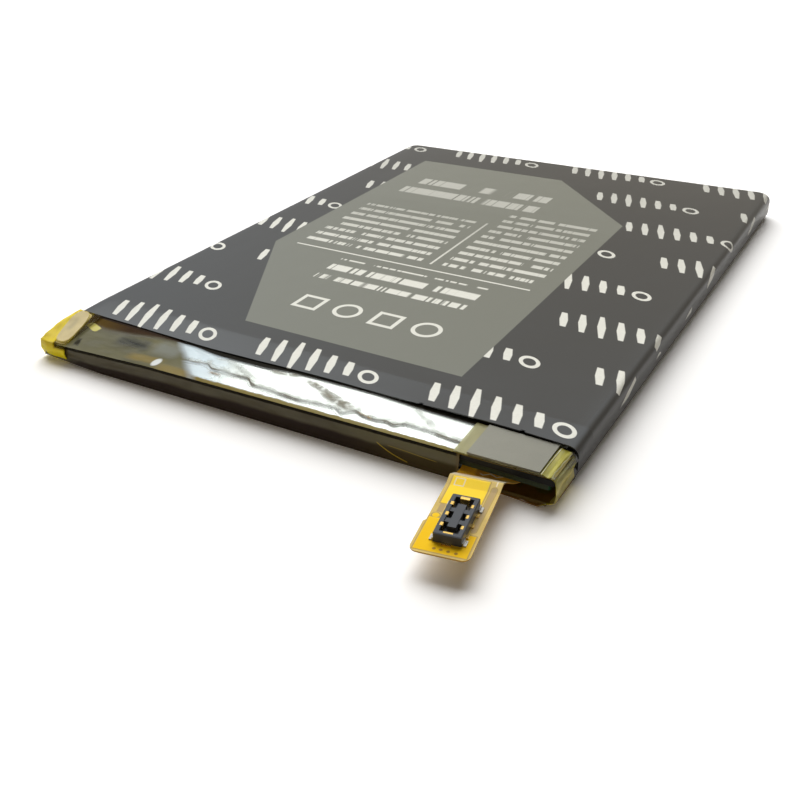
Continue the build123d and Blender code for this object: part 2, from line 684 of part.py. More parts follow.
with BuildPart() as flex_lead:
    with BuildSketch(flex_side):
        with BuildLine():
            FilletPolyline(
                (-FLEX_ROOT_LENGTH, flex_root_z),
                (FLEX_ROOT_OUTREACH, flex_root_z),
                (FLEX_HUMP_PLACE, FLEX_HUMP_HEIGHT),
                (FLEX_LEVEL_PLACE, FLEX_LEVEL_HEIGHT),
                (FLEX_LENGTH, FLEX_LEVEL_HEIGHT),
                radius=FLEX_BEND_RADIUS,
            )
        trace(line_width=FLEX)
    extrude(amount=FLEX_WIDTH, both=True)
    with BuildSketch(flex_plan) as flex_shape:
        with BuildLine():
            Polyline(
                (-FLEX_ROOT_LEFT, FLEX_ROOT_LENGTH),
                (FLEX_ROOT_RIGHT, FLEX_ROOT_LENGTH),
                (FLEX_ROOT_RIGHT, 0),
                (flex_half, -FLEX_HUMP_PLACE / 2),
                (flex_half, -FLEX_LENGTH),
                (flex_half - FLEX_TIP_WIDTH, -FLEX_LENGTH),
                (flex_half - FLEX_TIP_WIDTH, -flex_shoulder),
                (-flex_half, -flex_shoulder + 2 * FLEX_JOG_RADIUS),
                (-flex_half, -FLEX_HUMP_PLACE / 2),
                (-FLEX_ROOT_LEFT, 0),
                close=True,
            )
        make_face()
        fillet(flex_shape.vertices().group_by(Axis.Y)[0], FLEX_CORNER_RADIUS)
    extrude(amount=PACK_THICKNESS, mode=Mode.INTERSECT)
flex_lead.part.label = "flex_lead"
export_step(flex_lead.part, "parts/flex_lead.step")

# Stiffener: the stiff backing under the lead's level end
with BuildPart() as flex_stiffener:
    stiffener_plan = flex_plan.offset(FLEX_LEVEL_HEIGHT - FLEX / 2)
    stiffener_end = FLEX_LENGTH - STIFFENER_INSET
    with BuildSketch(stiffener_plan) as stiffener_shape:
        with BuildLine():
            Polyline(
                (flex_half - STIFFENER_INSET, -stiffener_end),
                (STIFFENER_INSET - flex_half, -stiffener_end),
                (STIFFENER_INSET - flex_half, STIFFENER_LENGTH - stiffener_end),
                (flex_half - STIFFENER_INSET, STIFFENER_LENGTH - stiffener_end),
                close=True,
            )
        make_face()
        fillet(stiffener_shape.vertices().group_by(Axis.Y)[0], FLEX_CORNER_RADIUS - STIFFENER_INSET)
    extrude(amount=-STIFFENER)
flex_stiffener.part.label = "flex_stiffener"
export_step(flex_stiffener.part, "parts/flex_stiffener.step")

# Solder joints: a row of flat domes under the lead's root
with BuildPart() as solder_joints:
    solder_places = [
        ((index - (SOLDER_PAD_COUNT - 1) / 2) * SOLDER_PAD_PITCH + (FLEX_ROOT_RIGHT - FLEX_ROOT_LEFT) / 2)
        for index in range(SOLDER_PAD_COUNT)
    ]
    with BuildSketch(flex_plan.offset(flex_root_z - FLEX / 2)):
        for place in solder_places:
            with Locations((place, FLEX_ROOT_LENGTH / 2)):
                Rectangle(SOLDER_PAD_WIDTH, SOLDER_PAD_LENGTH)
    extrude(amount=-SOLDER_HEIGHT)
    fillet(solder_joints.faces().group_by(Axis.Z)[0].edges(), SOLDER_ROUNDING)
solder_joints.part.label = "solder_joints"
export_step(solder_joints.part, "parts/solder_joints.step")

# Connector on the lead. Its frame lies on the lead's top face, with Y along the housing.
connector_base = flex_plan.offset(FLEX_LEVEL_HEIGHT + FLEX / 2)
connector_start = connector_base.from_local_coords((CONNECTOR_SHIFT, CONNECTOR_FROM_TIP - FLEX_LENGTH))
connector_plan = Plane(origin=connector_start, x_dir=connector_base.x_dir, z_dir=(0, 0, 1))
side_wall_x = CONNECTOR_WIDTH / 2 - CONNECTOR_WALL
end_wall_y = CONNECTOR_LENGTH / 2 - CONNECTOR_WALL
contact_places = [(index - (CONTACT_COUNT - 1) / 2) * CONTACT_PITCH for index in range(CONTACT_COUNT)]
hold_down_place = CONNECTOR_LENGTH / 2 - HOLD_DOWN_END_GAP - HOLD_DOWN_LENGTH / 2


def upright(angle, place):
    """Upright plane across a wall of the housing: X runs outward through the wall, Y is up."""
    outward = radians(FLEX_TURN + angle)
    start = connector_plan.from_local_coords(
        (-place * sin(radians(angle)), place * cos(radians(angle)))
    )
    return Plane(
        origin=start,
        x_dir=(cos(outward), sin(outward), 0),
        z_dir=(sin(outward), -cos(outward), 0),
    )


def contact_points(outer, inner):
    """Middle line of a contact: foot on the lead, leg up the inside of the wall, hook on its top."""
    leg = inner - FIT - CONTACT_THICKNESS / 2
    low = CONTACT_THICKNESS / 2
    high = CONNECTOR_HEIGHT - CONTACT_THICKNESS / 2
    return [(outer + CONTACT_FOOT, low), (leg, low), (leg, high), (leg + CONTACT_HOOK, high)]


contact_walls = [(angle, place) for angle in (0, 180) for place in contact_places]

# Housing: a frame round a pocket with an island, ribs between the contacts and a slot for each
with BuildPart() as connector_housing:
    with BuildSketch(connector_plan):
        RectangleRounded(CONNECTOR_WIDTH, CONNECTOR_LENGTH, CONNECTOR_CORNER_RADIUS)
    extrude(amount=CONNECTOR_HEIGHT)
    chamfer(connector_housing.faces().sort_by(Axis.Z)[-1].edges(), CONNECTOR_CHAMFER)
    with BuildSketch(connector_plan.offset(CONNECTOR_HEIGHT)):
        Rectangle(2 * side_wall_x, 2 * end_wall_y)
        Rectangle(ISLAND_WIDTH, ISLAND_LENGTH, mode=Mode.SUBTRACT)
    extrude(amount=CONNECTOR_FLOOR - CONNECTOR_HEIGHT, mode=Mode.SUBTRACT)
    with BuildSketch(connector_plan.offset(CONNECTOR_HEIGHT)):
        Rectangle(ISLAND_WIDTH, ISLAND_LENGTH)
    extrude(amount=-ISLAND_DROP, mode=Mode.SUBTRACT)
    with BuildSketch(connector_plan.offset(CONNECTOR_FLOOR)):
        with GridLocations(side_wall_x + ISLAND_WIDTH / 2, CONTACT_PITCH, 2, CONTACT_COUNT - 1):
            Rectangle(side_wall_x - ISLAND_WIDTH / 2, RIB_LENGTH)
    extrude(amount=CONNECTOR_HEIGHT - CONNECTOR_FLOOR - RIB_DROP)
    for angle, place in contact_walls:
        with BuildSketch(upright(angle, place)):
            with BuildLine():
                Polyline(*contact_points(CONNECTOR_WIDTH / 2, side_wall_x))
            trace(line_width=CONTACT_THICKNESS + 2 * FIT)
        extrude(amount=CONTACT_WIDTH / 2 + FIT, both=True, mode=Mode.SUBTRACT)
    for angle in (90, 270):
        with BuildSketch(upright(angle, 0)):
            with BuildLine():
                Polyline(*contact_points(CONNECTOR_LENGTH / 2, end_wall_y))
            trace(line_width=CONTACT_THICKNESS + 2 * FIT)
        extrude(amount=POWER_CONTACT_WIDTH / 2 + FIT, both=True, mode=Mode.SUBTRACT)
connector_housing.part.label = "connector_housing"
export_step(connector_housing.part, "parts/connector_housing.step")

with BuildPart() as signal_contacts:
    for angle, place in contact_walls:
        with BuildSketch(upright(angle, place)):
            with BuildLine():
                FilletPolyline(*contact_points(CONNECTOR_WIDTH / 2, side_wall_x), radius=CONTACT_BEND_RADIUS)
            trace(line_width=CONTACT_THICKNESS)
        extrude(amount=CONTACT_WIDTH / 2, both=True)
signal_contacts.part.label = "signal_contacts"
export_step(signal_contacts.part, "parts/signal_contacts.step")

with BuildPart() as power_contacts:
    for angle in (90, 270):
        with BuildSketch(upright(angle, 0)):
            with BuildLine():
                FilletPolyline(*contact_points(CONNECTOR_LENGTH / 2, end_wall_y), radius=CONTACT_BEND_RADIUS)
            trace(line_width=CONTACT_THICKNESS)
        extrude(amount=POWER_CONTACT_WIDTH / 2, both=True)
power_contacts.part.label = "power_contacts"
export_step(power_contacts.part, "parts/power_contacts.step")

# Hold-downs: four small angles soldered beside the housing's corners
with BuildPart() as hold_downs:
    hold_down_x = CONNECTOR_WIDTH / 2 + FIT + HOLD_DOWN_THICKNESS / 2
    for angle in (0, 180):
        for place in (-hold_down_place, hold_down_place):
            with BuildSketch(upright(angle, place)):
                with BuildLine():
                    FilletPolyline(
                        (hold_down_x + HOLD_DOWN_REACH, HOLD_DOWN_THICKNESS / 2),
                        (hold_down_x, HOLD_DOWN_THICKNESS / 2),
                        (hold_down_x, HOLD_DOWN_HEIGHT),
                        radius=HOLD_DOWN_THICKNESS,
                    )
                trace(line_width=HOLD_DOWN_THICKNESS)
            extrude(amount=HOLD_DOWN_LENGTH / 2, both=True)
hold_downs.part.label = "hold_downs"
export_step(hold_downs.part, "parts/hold_downs.step")
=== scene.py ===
from math import cos, pi, radians, sin

import bpy
from mathutils import Matrix, Vector, noise


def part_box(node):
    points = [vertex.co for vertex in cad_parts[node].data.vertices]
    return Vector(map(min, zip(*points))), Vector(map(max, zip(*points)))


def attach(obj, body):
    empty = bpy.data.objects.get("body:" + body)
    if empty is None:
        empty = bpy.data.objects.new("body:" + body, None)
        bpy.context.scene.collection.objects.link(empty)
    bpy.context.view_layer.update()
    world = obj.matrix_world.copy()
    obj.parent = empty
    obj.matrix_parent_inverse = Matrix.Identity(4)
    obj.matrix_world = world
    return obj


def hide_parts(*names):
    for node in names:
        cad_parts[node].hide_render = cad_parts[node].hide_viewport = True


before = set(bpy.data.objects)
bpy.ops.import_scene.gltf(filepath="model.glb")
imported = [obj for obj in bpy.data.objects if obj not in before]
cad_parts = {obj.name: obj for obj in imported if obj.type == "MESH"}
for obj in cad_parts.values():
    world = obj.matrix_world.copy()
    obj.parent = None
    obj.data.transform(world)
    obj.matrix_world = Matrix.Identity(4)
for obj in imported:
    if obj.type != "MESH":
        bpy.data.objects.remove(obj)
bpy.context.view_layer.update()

# Camera: it stands low in front of the right-hand corner, as the photograph's did. Places and sizes are
# written in millimetres throughout this file and turned into metres with mm.
mm = 0.001
sensor_width = 36
focal_pixels = 937.06
photo_width = 800
camera_place = Vector((53.320, -105.297, 49.392))
camera_right = Vector((0.85989, 0.50989, -0.02459))
camera_down = Vector((0.24215, -0.44981, -0.85967))
camera_ahead = Vector((-0.44940, 0.73326, -0.51026))
photo_camera = bpy.data.objects.new("photo_camera", bpy.data.cameras.new("photo_camera"))
bpy.context.scene.collection.objects.link(photo_camera)
photo_camera.data.sensor_width = sensor_width
photo_camera.data.lens = sensor_width * focal_pixels / photo_width
photo_camera.data.clip_start = mm
turned = Matrix((camera_right, -camera_down, -camera_ahead)).transposed().to_4x4()
photo_camera.matrix_world = Matrix.Translation(camera_place * mm) @ turned
bpy.context.scene.camera = photo_camera
bpy.context.scene.view_settings.view_transform = "Standard"


# Ground and light: a white ground, a pale room that is brighter towards a window behind the battery on its
# left, and a wide soft lamp there. The classes below write a finish as plain maths on figures: Finish makes
# the nodes, and Figure is a number, colour or shader that comes out of one.
class Figure:
    def __init__(self, finish, socket):
        self.finish = finish
        self.socket = socket

    def maths(self, operation, *values):
        return self.finish.node("Math", {"operation": operation}, dict(enumerate(values)))

    def __add__(self, other):
        return self.maths("ADD", self, other)

    def __radd__(self, other):
        return self.maths("ADD", other, self)

    def __sub__(self, other):
        return self.maths("SUBTRACT", self, other)

    def __rsub__(self, other):
        return self.maths("SUBTRACT", other, self)

    def __mul__(self, other):
        return self.maths("MULTIPLY", self, other)

    def __rmul__(self, other):
        return self.maths("MULTIPLY", other, self)

    def __truediv__(self, other):
        return self.maths("DIVIDE", self, other)

    def __mod__(self, other):
        return self.maths("FLOORED_MODULO", self, other)

    def __abs__(self):
        return self.maths("ABSOLUTE", self)

    def __gt__(self, other):
        return self.maths("GREATER_THAN", self, other)

    def __lt__(self, other):
        return self.maths("LESS_THAN", self, other)

    def least(self, other):
        return self.maths("MINIMUM", self, other)

    def most(self, *others):
        """The largest of these. For masks that is all of them together."""
        largest = self
        for other in others:
            largest = self.maths("MAXIMUM", largest, other)
        return largest

    def squared(self):
        return self * self

    def floor(self):
        return self.maths("FLOOR", self)

    def rise(self, low, high):
        """0 below low and 1 above high, or the other way round, with a smooth step between them."""
        return self.finish.node("MapRange", {"interpolation_type": "SMOOTHSTEP"}, {0: self, 1: low, 2: high})

    def spread(self, low, high):
        """A noise that keeps near 0.5, drawn out over the range from low to high."""
        return self.finish.node("MapRange", {}, {0: self, 1: 0.3, 2: 0.7, 3: low, 4: high})

    def mix(self, first, second):
        """Two colours mixed by this share, from 0 to 1."""
        first, second = [colour if isinstance(colour, Figure) else (*colour, 1) for colour in (first, second)]
        return self.finish.node("Mix", {"data_type": "RGBA"}, {0: self, 6: first, 7: second}, 2)


class Finish:
    def __init__(self, name, tree=None):
        if tree is None:
            self.material = bpy.data.materials.new(name)
            self.material.use_nodes = True
            tree = self.material.node_tree
        self.tree = tree
        self.tree.nodes.clear()

    def node(self, kind, settings, sockets, out=0):
        made = self.tree.nodes.new("ShaderNode" + kind)
        for name, setting in settings.items():
            setattr(made, name, setting)
        for name, value in sockets.items():
            if isinstance(value, Figure):
                self.tree.links.new(value.socket, made.inputs[name])
            else:
                made.inputs[name].default_value = value
        return Figure(self, made.outputs[out])

    def place(self):
        """Place on the piece in millimetres, as three figures."""
        spot = self.node("TexCoord", {}, {}, "Object")
        return [self.node("SeparateXYZ", {}, {0: spot}, axis) / mm for axis in "XYZ"]

    def at(self, x, y, z):
        return self.node("CombineXYZ", {}, {0: x, 1: y, 2: z})

    def noise(self, spot, size, detail=2):
        """Soft noise from 0 to 1 round 0.5, whose lumps are about this many millimetres."""
        return self.node("TexNoise", {}, {"Vector": self.at(*spot), "Scale": 1 / size, "Detail": detail})

    def field(self, x, y, x_low, x_high, y_low, y_high, soft):
        """1 inside an upright box on the surface and 0 outside it, with soft edges."""
        across = x.rise(x_low - soft, x_low + soft) * x.rise(x_high + soft, x_high - soft)
        along = y.rise(y_low - soft, y_low + soft) * y.rise(y_high + soft, y_high - soft)
        return across * along

    def bumps(self, height, strength=1.0, distance=0.1):
        """Height in millimetres turned into a bent normal."""
        return self.node("Bump", {}, {"Strength": strength, "Distance": distance * mm, "Height": height})

    def surface(self, colour, **sockets):
        """A principled surface. A plain colour is given as three numbers."""
        if not isinstance(colour, Figure):
            colour = (*colour, 1)
        named = {name.replace("_", " "): value for name, value in sockets.items()}
        return self.node("BsdfPrincipled", {}, {"Base Color": colour, **named})

    def done(self, shader, kind="Material"):
        output = self.tree.nodes.new("ShaderNodeOutput" + kind)
        self.tree.links.new(shader.socket, output.inputs["Surface"])
        return self


bpy.ops.object.select_all(action="DESELECT")
bpy.ops.mesh.primitive_plane_add(size=4)
ground = bpy.context.object
ground.name = "ground"
bpy.ops.object.mode_set(mode="EDIT")
bpy.ops.mesh.subdivide(number_cuts=3)
bpy.ops.object.mode_set(mode="OBJECT")
white_ground = Finish("white_ground")
camera_ray = white_ground.node("LightPath", {}, {}, "Is Camera Ray")
matt = white_ground.surface(camera_ray.mix((0.80, 0.79, 0.77), (1, 1, 1)), Roughness=0.7)
x, y, z = white_ground.place()
far_off = (x.squared() + y.squared()).rise(110**2, 320**2)
glow = white_ground.node("Emission", {}, {"Color": (1, 1, 1, 1), "Strength": (0.02 + far_off) * camera_ray})
extra_white = camera_ray.mix((0, 0, 0), (0.12, 0.12, 0.12))
paler = white_ground.surface(extra_white, Roughness=0.7, Specular_IOR_Level=0.0)
lit = white_ground.node("AddShader", {}, {0: matt, 1: paler})
white_ground.done(white_ground.node("AddShader", {}, {0: lit, 1: glow}))
ground.data.materials.append(white_ground.material)

room = bpy.data.worlds.new("pale_room")
room.use_nodes = True
bpy.context.scene.world = room
pale_room = Finish("pale_room", room.node_tree)
direction = pale_room.node("TexCoord", {}, {}, "Generated")
towards_left, towards_front, upward = [
    pale_room.node("SeparateXYZ", {}, {0: direction}, axis) for axis in "XYZ"
]
window_side = towards_left.rise(-0.3, -0.75)
low_part = upward.rise(0.28, 0.48)
high_part = upward.rise(0.49, 0.62)
ray_names = ("Is Glossy Ray", "Is Transmission Ray", "Is Camera Ray")
glossy_ray, passing_ray, seen = [pale_room.node("LightPath", {}, {}, name) for name in ray_names]
mirrored = glossy_ray.most(passing_ray)
top_part = upward.rise(0.59, 0.70)
reflected_level = (0.5 + 0.27 * low_part + 1.1 * high_part + 0.5 * top_part) * (1 + 0.35 * window_side)
in_front = towards_front.rise(-0.25, -0.7) * upward.rise(0.6, 0.25)
diffuse_level = 0.03 + 0.05 * upward.rise(0.1, 0.9) + 0.5 * in_front
level = seen + (1 - seen) * (mirrored * reflected_level + (1 - mirrored) * diffuse_level)
mirrored_colour = window_side.most(high_part).mix((1.0, 0.93, 0.80), (0.93, 0.975, 1.0))
room_colour = mirrored.mix((1.0, 0.80, 0.55), mirrored_colour)
room_colour = seen.mix(room_colour, (1, 1, 1))
pale_room.done(pale_room.node("Background", {}, {"Color": room_colour, "Strength": level}), "World")

window_lamp = bpy.data.objects.new("window_lamp", bpy.data.lights.new("window_lamp", "AREA"))
bpy.context.scene.collection.objects.link(window_lamp)
window_lamp.data.shape = "DISK"
window_lamp.data.size = 1.8
window_lamp.data.energy = 43
window_lamp.visible_glossy = False
lamp_from = Vector((-0.45, 0.65, 0.61)).normalized()
lamp_distance = 1.4
window_lamp.location = lamp_from * lamp_distance
window_lamp.rotation_euler = lamp_from.to_track_quat("Z", "Y").to_euler()

# Pouch cell: a folded pouch of aluminium laminate round the cell's stack, sealed along its edges. Its
# bright ledge runs out under the tape, and creases where the tape was drawn over it.
def dress(finish, *nodes):
    for name in nodes:
        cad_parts[name].material_slots[0].material = finish.material


mouth_y = -39.0
pouch_foil = Finish("pouch_foil")
x, y, z = pouch_foil.place()
grain = pouch_foil.noise((x, y, z), 0.8, 2)
shade = pouch_foil.noise((x * 0.35, y, z), 2.2, 3).spread(0, 1)
foil_colour = shade.mix((0.86, 0.88, 0.87), (0.93, 0.94, 0.94))
wrinkles = pouch_foil.noise((x * 0.3, y, z), 1.6, 1)
pouch_foil.done(
    pouch_foil.surface(
        foil_colour,
        Metallic=1.0,
        Roughness=grain.spread(0.26, 0.34),
        Normal=pouch_foil.bumps(wrinkles, 0.35, 0.12),
    )
)
dress(pouch_foil, "pouch_cell")

# Foam pad: double-sided foam tape, cut from a roll, that holds the board under the ledge. The foam is black,
# open-celled and dull.
def grained(name, grain, dark, pale, roughness, bump, stretch=(1, 1, 1), **sockets):
    """A finish whose grain (size, detail) gives its tones, its roughness and its bumps (strength, height)."""
    finish = Finish(name)
    spot = [figure if scale == 1 else figure * scale for figure, scale in zip(finish.place(), stretch)]
    lumps = finish.noise(spot, *grain)
    if isinstance(roughness, tuple):
        roughness = lumps.spread(*roughness)
    relief = finish.bumps(lumps, *bump)
    return finish.done(finish.surface(lumps.mix(dark, pale), Roughness=roughness, Normal=relief, **sockets))


black_foam = grained("black_foam", (0.12, 3), (0.012, 0.012, 0.012), (0.04, 0.04, 0.04), 0.9, (1.0, 0.05))
dress(black_foam, "adhesive_pad")

# Protection board: glass-fibre laminate with a dark green solder mask on its faces and the bare weave at
# its edges.
green_board = Finish("green_board")
x, y, z = green_board.place()
mask_margin = Vector((0.04, 0.04, 0))
board_low, board_high = [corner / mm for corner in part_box("protection_board")]
mask_low, mask_high = board_low + mask_margin, board_high - mask_margin
inside = green_board.field(x, y, mask_low.x, mask_high.x, mask_low.y, mask_high.y, 0.02)
weave = green_board.noise((x * 3, y * 3, z * 0.3), 0.3, 3)
tracks = abs(((x + 0.6 * y) % 1.4) - 0.7).rise(0.28, 0.32)
mask_colour = tracks.mix((0.005, 0.030, 0.014), (0.010, 0.058, 0.022))
edge_colour = weave.mix((0.010, 0.016, 0.008), (0.040, 0.052, 0.022))
# Painted shade: the bare edge is painted darker towards the left.
edge_colour = (0.8 * x.rise(24.0, 17.0)).mix(edge_colour, (0.006, 0.006, 0.003))
green_board.done(
    green_board.surface(
        inside.mix(edge_colour, mask_colour),
        Roughness=0.65 - 0.35 * inside,
        Specular_IOR_Level=0.3,
        Normal=green_board.bumps(tracks * inside + 0.3 * weave, 0.5, 0.03),
    )
)
dress(green_board, "protection_board")

# Tabs and weld plates: bright nickel plates soldered to the board, and the cell's two tabs, one of
# aluminium and one of nickel, spot welded to them. The welds are rows of small dimples.
def welded(name, colour, roughness):
    metal = Finish(name)
    x, y, z = metal.place()
    rolled = metal.noise((x * 0.2, y * 3, z), 0.4, 3)
    dimples = metal.node("TexVoronoi", {}, {"Vector": metal.at(x, y, 0), "Scale": 1.6}, "Distance")
    metal.done(
        metal.surface(
            rolled.mix([0.8 * part for part in colour], colour),
            Metallic=1.0,
            Roughness=rolled.spread(roughness, roughness + 0.12),
            Normal=metal.bumps(rolled * 0.2 + dimples.rise(0.1, 0.3), 0.5, 0.04),
        )
    )
    return metal


dress(welded("tab_aluminium", (0.80, 0.81, 0.82), 0.35), "positive_tab")
dress(welded("nickel", (0.66, 0.62, 0.56), 0.28), "negative_tab", "tab_plates")

# Protection circuit: moulded black packages and small ceramic parts with tinned ends, reflowed onto the
# board.
chip_black = grained("chip_black", (0.08, 2), (0.012, 0.012, 0.013), (0.03, 0.03, 0.031), 0.5, (0.5, 0.01))
dress(chip_black, "protection_chip", "switch_transistors")


def ceramic(node, name, body, end_length, lengthwise):
    """A ceramic part with tinned ends, whose length runs along X or Y."""
    part = Finish(name)
    place = part.place()
    axis = "XYZ".index(lengthwise)
    low, high = [corner[axis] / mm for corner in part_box(node)]
    body_half = (high - low) / 2 - end_length
    ends = abs(place[axis] - (low + high) / 2).rise(body_half, body_half + 0.03)
    speckle = part.noise(place, 0.1, 2)
    part.done(
        part.surface(
            ends.mix(speckle.mix(body, [0.7 * share for share in body]), (0.72, 0.71, 0.68)),
            Metallic=ends,
            Roughness=0.55 - 0.2 * ends,
            Normal=part.bumps(speckle, 0.4, 0.01),
        )
    )
    dress(part, node)


ceramic("resistors", "resistor_black", (0.02, 0.02, 0.022), 0.2, "Y")
ceramic("capacitors", "capacitor_tan", (0.36, 0.25, 0.15), 0.2, "Y")
ceramic("thermistor", "thermistor_grey", (0.12, 0.12, 0.11), 0.2, "Y")
ceramic("current_fuse", "fuse_green", (0.02, 0.09, 0.05), 0.4, "X")

# Insulating strip: a strip of black adhesive film folded over the edge of ledge and board, so that the lead
# can't touch the pouch. It is dull and has soft creases along its length.
black_insulator = grained(
    "black_insulator",
    (0.8, 3),
    (0.006, 0.006, 0.006),
    (0.02, 0.019, 0.017),
    (0.4, 0.6),
    (0.5, 0.1),
    stretch=(0.4, 1, 1),
    Specular_IOR_Level=0.15,
)
dress(black_insulator, "insulating_strip")

# Flex lead: copper between two amber films, formed hot into a low hump and a level end. Its fields show as
# bright yellow under the cover film, and its tracks as brown gaps between them.
flex_start = Vector((24.0, -43.6))
flex_turn = radians(10.5)
amber_flex = Finish("amber_flex")
x, y, z = amber_flex.place()
away_x = x - flex_start.x
away_y = y - flex_start.y
side = away_x * cos(flex_turn) + away_y * sin(flex_turn)
run = away_x * sin(flex_turn) - away_y * cos(flex_turn)


def facing_up(finish):
    """How far the surface faces up, from 1 on top to -1 below."""
    return finish.node("SeparateXYZ", {}, {0: finish.node("NewGeometry", {}, {}, "Normal")}, "Z")


def patch(side_low, side_high, run_low, run_high, soft=0.06):
    return amber_flex.field(side, run, side_low, side_high, run_low, run_high, soft)


def disc(side_at, run_at, radius, soft=0.06):
    away = (side - side_at).squared() + (run - run_at).squared()
    return away.rise((radius + soft) ** 2, (radius - soft) ** 2)


def copper_fields(grow):
    """The copper's fields, drawn this many millimetres larger all round."""
    main = patch(-2.0 - grow, 1.3 + grow, 2.5 - grow, 6.25 + grow)
    tip = patch(-2.3 - grow, 2.12 + grow, 8.3 - grow, 12.5 + grow)
    notch = patch(1.2 + grow, 2.6, 8.1, 9.7 - grow)
    return main.most(tip * (1 - notch), disc(-1.83, 8.0, 0.3 + grow))


def from_line(u, v, start, end):
    """The share along a line between two places (u, v) where a point is nearest, and its distance squared."""
    reach = Vector(end) - Vector(start)
    share = (((u - start[0]) * reach.x + (v - start[1]) * reach.y) / reach.length_squared).most(0).least(1)
    return share, (u - start[0] - share * reach.x).squared() + (v - start[1] - share * reach.y).squared()


def capsule(start, end, radius, soft=0.05):
    """A mark with round ends between two places (across, along) on the lead."""
    away = from_line(side, run, start, end)[1]
    return away.rise((radius + soft) ** 2, (radius - soft) ** 2)


copper = copper_fields(0.0)
copper_rim = copper_fields(0.1) * (1 - copper)
square_line = patch(-1.72, -0.82, 2.66, 3.56, 0.035) * (1 - patch(-1.64, -0.9, 2.74, 3.48, 0.035))
right_track = capsule((1.85, 3.3), (1.68, 9.05), 0.3)
gap_track = capsule((1.85, 3.3), (1.68, 9.05), 0.22).most(patch(-1.95, -1.45, 6.4, 7.55))
copper_rim = copper_rim.most(right_track * (1 - gap_track))
dash_edges = (
    (-1.75, -1.0, 1.85, 1.95), (-0.5, 0.1, 1.75, 1.83), (0.5, 1.5, 1.95, 2.03), (1.85, 1.95, 2.0, 2.9),
)
dashes = Figure.most(*[patch(*edges, 0.05) for edges in dash_edges]) * 0.8
dot_places = ((-0.66, 12.05), (-0.09, 12.05), (0.52, 12.1), (1.17, 12.15))
dots = Figure.most(*[disc(*place, 0.14) for place in dot_places])
cloud = amber_flex.noise((x, y, z), 1.2, 3)
amber = cloud.mix((0.50, 0.34, 0.06), (0.72, 0.54, 0.17))
# Painted light: a lobe at the lead's root is painted full bright amber, for light through the film in the
# strip's shade.
lit_lobe = amber_flex.field(side + 0.5 * cloud, run, -2.0, -0.45, -0.7, 0.55, 0.15)
root_amber = cloud.mix((0.50, 0.23, 0.02), (0.78, 0.40, 0.045))
root_amber = ((side - run).rise(0.2, 1.6) * run.rise(-0.2, 0.5)).mix(root_amber, (0.95, 0.50, 0.03))
root_amber = lit_lobe.mix(root_amber, (1.0, 0.55, 0.03))
zigzag = abs(run - 0.35 * abs(((side * 1.6) % 2) - 1)).rise(0.12, 0.05) * patch(-0.3, 1.9, -0.4, 0.7, 0.1)
root_amber = zigzag.mix(root_amber, (0.80, 0.70, 0.55))
flex_colour = (run + 0.15 * side).rise(0.7, 1.1).mix(root_amber, amber)
copper_colour = run.rise(4.0, 10.0).mix((1.0, 0.70, 0.045), (0.88, 0.54, 0.008))
flex_colour = (0.8 * copper_rim).mix(flex_colour, (0.30, 0.19, 0.03))
flex_colour = copper.mix(flex_colour, copper_colour)
flex_colour = gap_track.mix(flex_colour, (0.40, 0.28, 0.11))
# Painted highlight: a pale band across the hump's crest.
flex_colour = (0.8 * abs(run - 1.6).rise(0.9, 0.2)).mix(flex_colour, (0.96, 0.89, 0.72))
flex_colour = dashes.most(square_line).mix(flex_colour, (0.86, 0.80, 0.66))
flex_colour = dots.mix(flex_colour, (0.36, 0.20, 0.03))
lower_side = cloud.mix((0.42, 0.22, 0.03), (0.56, 0.33, 0.06))
flex_colour = facing_up(amber_flex).rise(0.2, 0.4).mix(lower_side, flex_colour)
relief = copper - 0.5 * gap_track + 0.4 * cloud
crest_highlight = abs(run - 1.75).rise(0.9, 0.2)
amber_flex.done(
    amber_flex.surface(
        flex_colour,
        Roughness=0.35 + 0.15 * cloud,
        Specular_IOR_Level=0.15,
        Coat_Weight=(0.35 + 0.65 * crest_highlight) * (1 - copper) * (1 - lit_lobe),
        Coat_Roughness=0.2,
        Normal=amber_flex.bumps(relief, 0.6, 0.03),
    )
)
dress(amber_flex, "flex_lead")

# Stiffener: a plate of amber laminate glued below the lead's level end, so that the connector's joints don't
# bend. The weave of its cloth shows faintly.
stiffener = grained(
    "stiffener", (0.5, 3), (0.46, 0.30, 0.07), (0.62, 0.44, 0.14), 0.45, (0.4, 0.02), stretch=(3, 3, 1)
)
dress(stiffener, "flex_stiffener")

# Solder and tinned fittings: the joints under the lead's root and the hold-downs at the connector's
# corners.
solder = grained(
    "solder", (0.15, 3), (0.27, 0.26, 0.24), (0.42, 0.40, 0.37), (0.2, 0.4), (0.4, 0.03), Metallic=1.0
)
dress(solder, "solder_joints", "hold_downs")

# Connector: a charcoal plastic moulding with pockets, and contacts of gold-plated bronze pressed into it. It
# is soldered to the lead by the contacts' feet and the corner fittings.
connector_plastic = grained(
    "connector_plastic",
    (0.06, 3),
    (0.026, 0.028, 0.033),
    (0.050, 0.054, 0.062),
    (0.32, 0.48),
    (0.5, 0.008),
    Specular_IOR_Level=0.35,
)
dress(connector_plastic, "connector_housing")
gold_plate = grained(
    "gold_plate", (0.1, 3), (0.48, 0.29, 0.06), (0.70, 0.48, 0.15), (0.16, 0.3), (0.3, 0.01), Metallic=1.0
)
dress(gold_plate, "signal_contacts", "power_contacts")

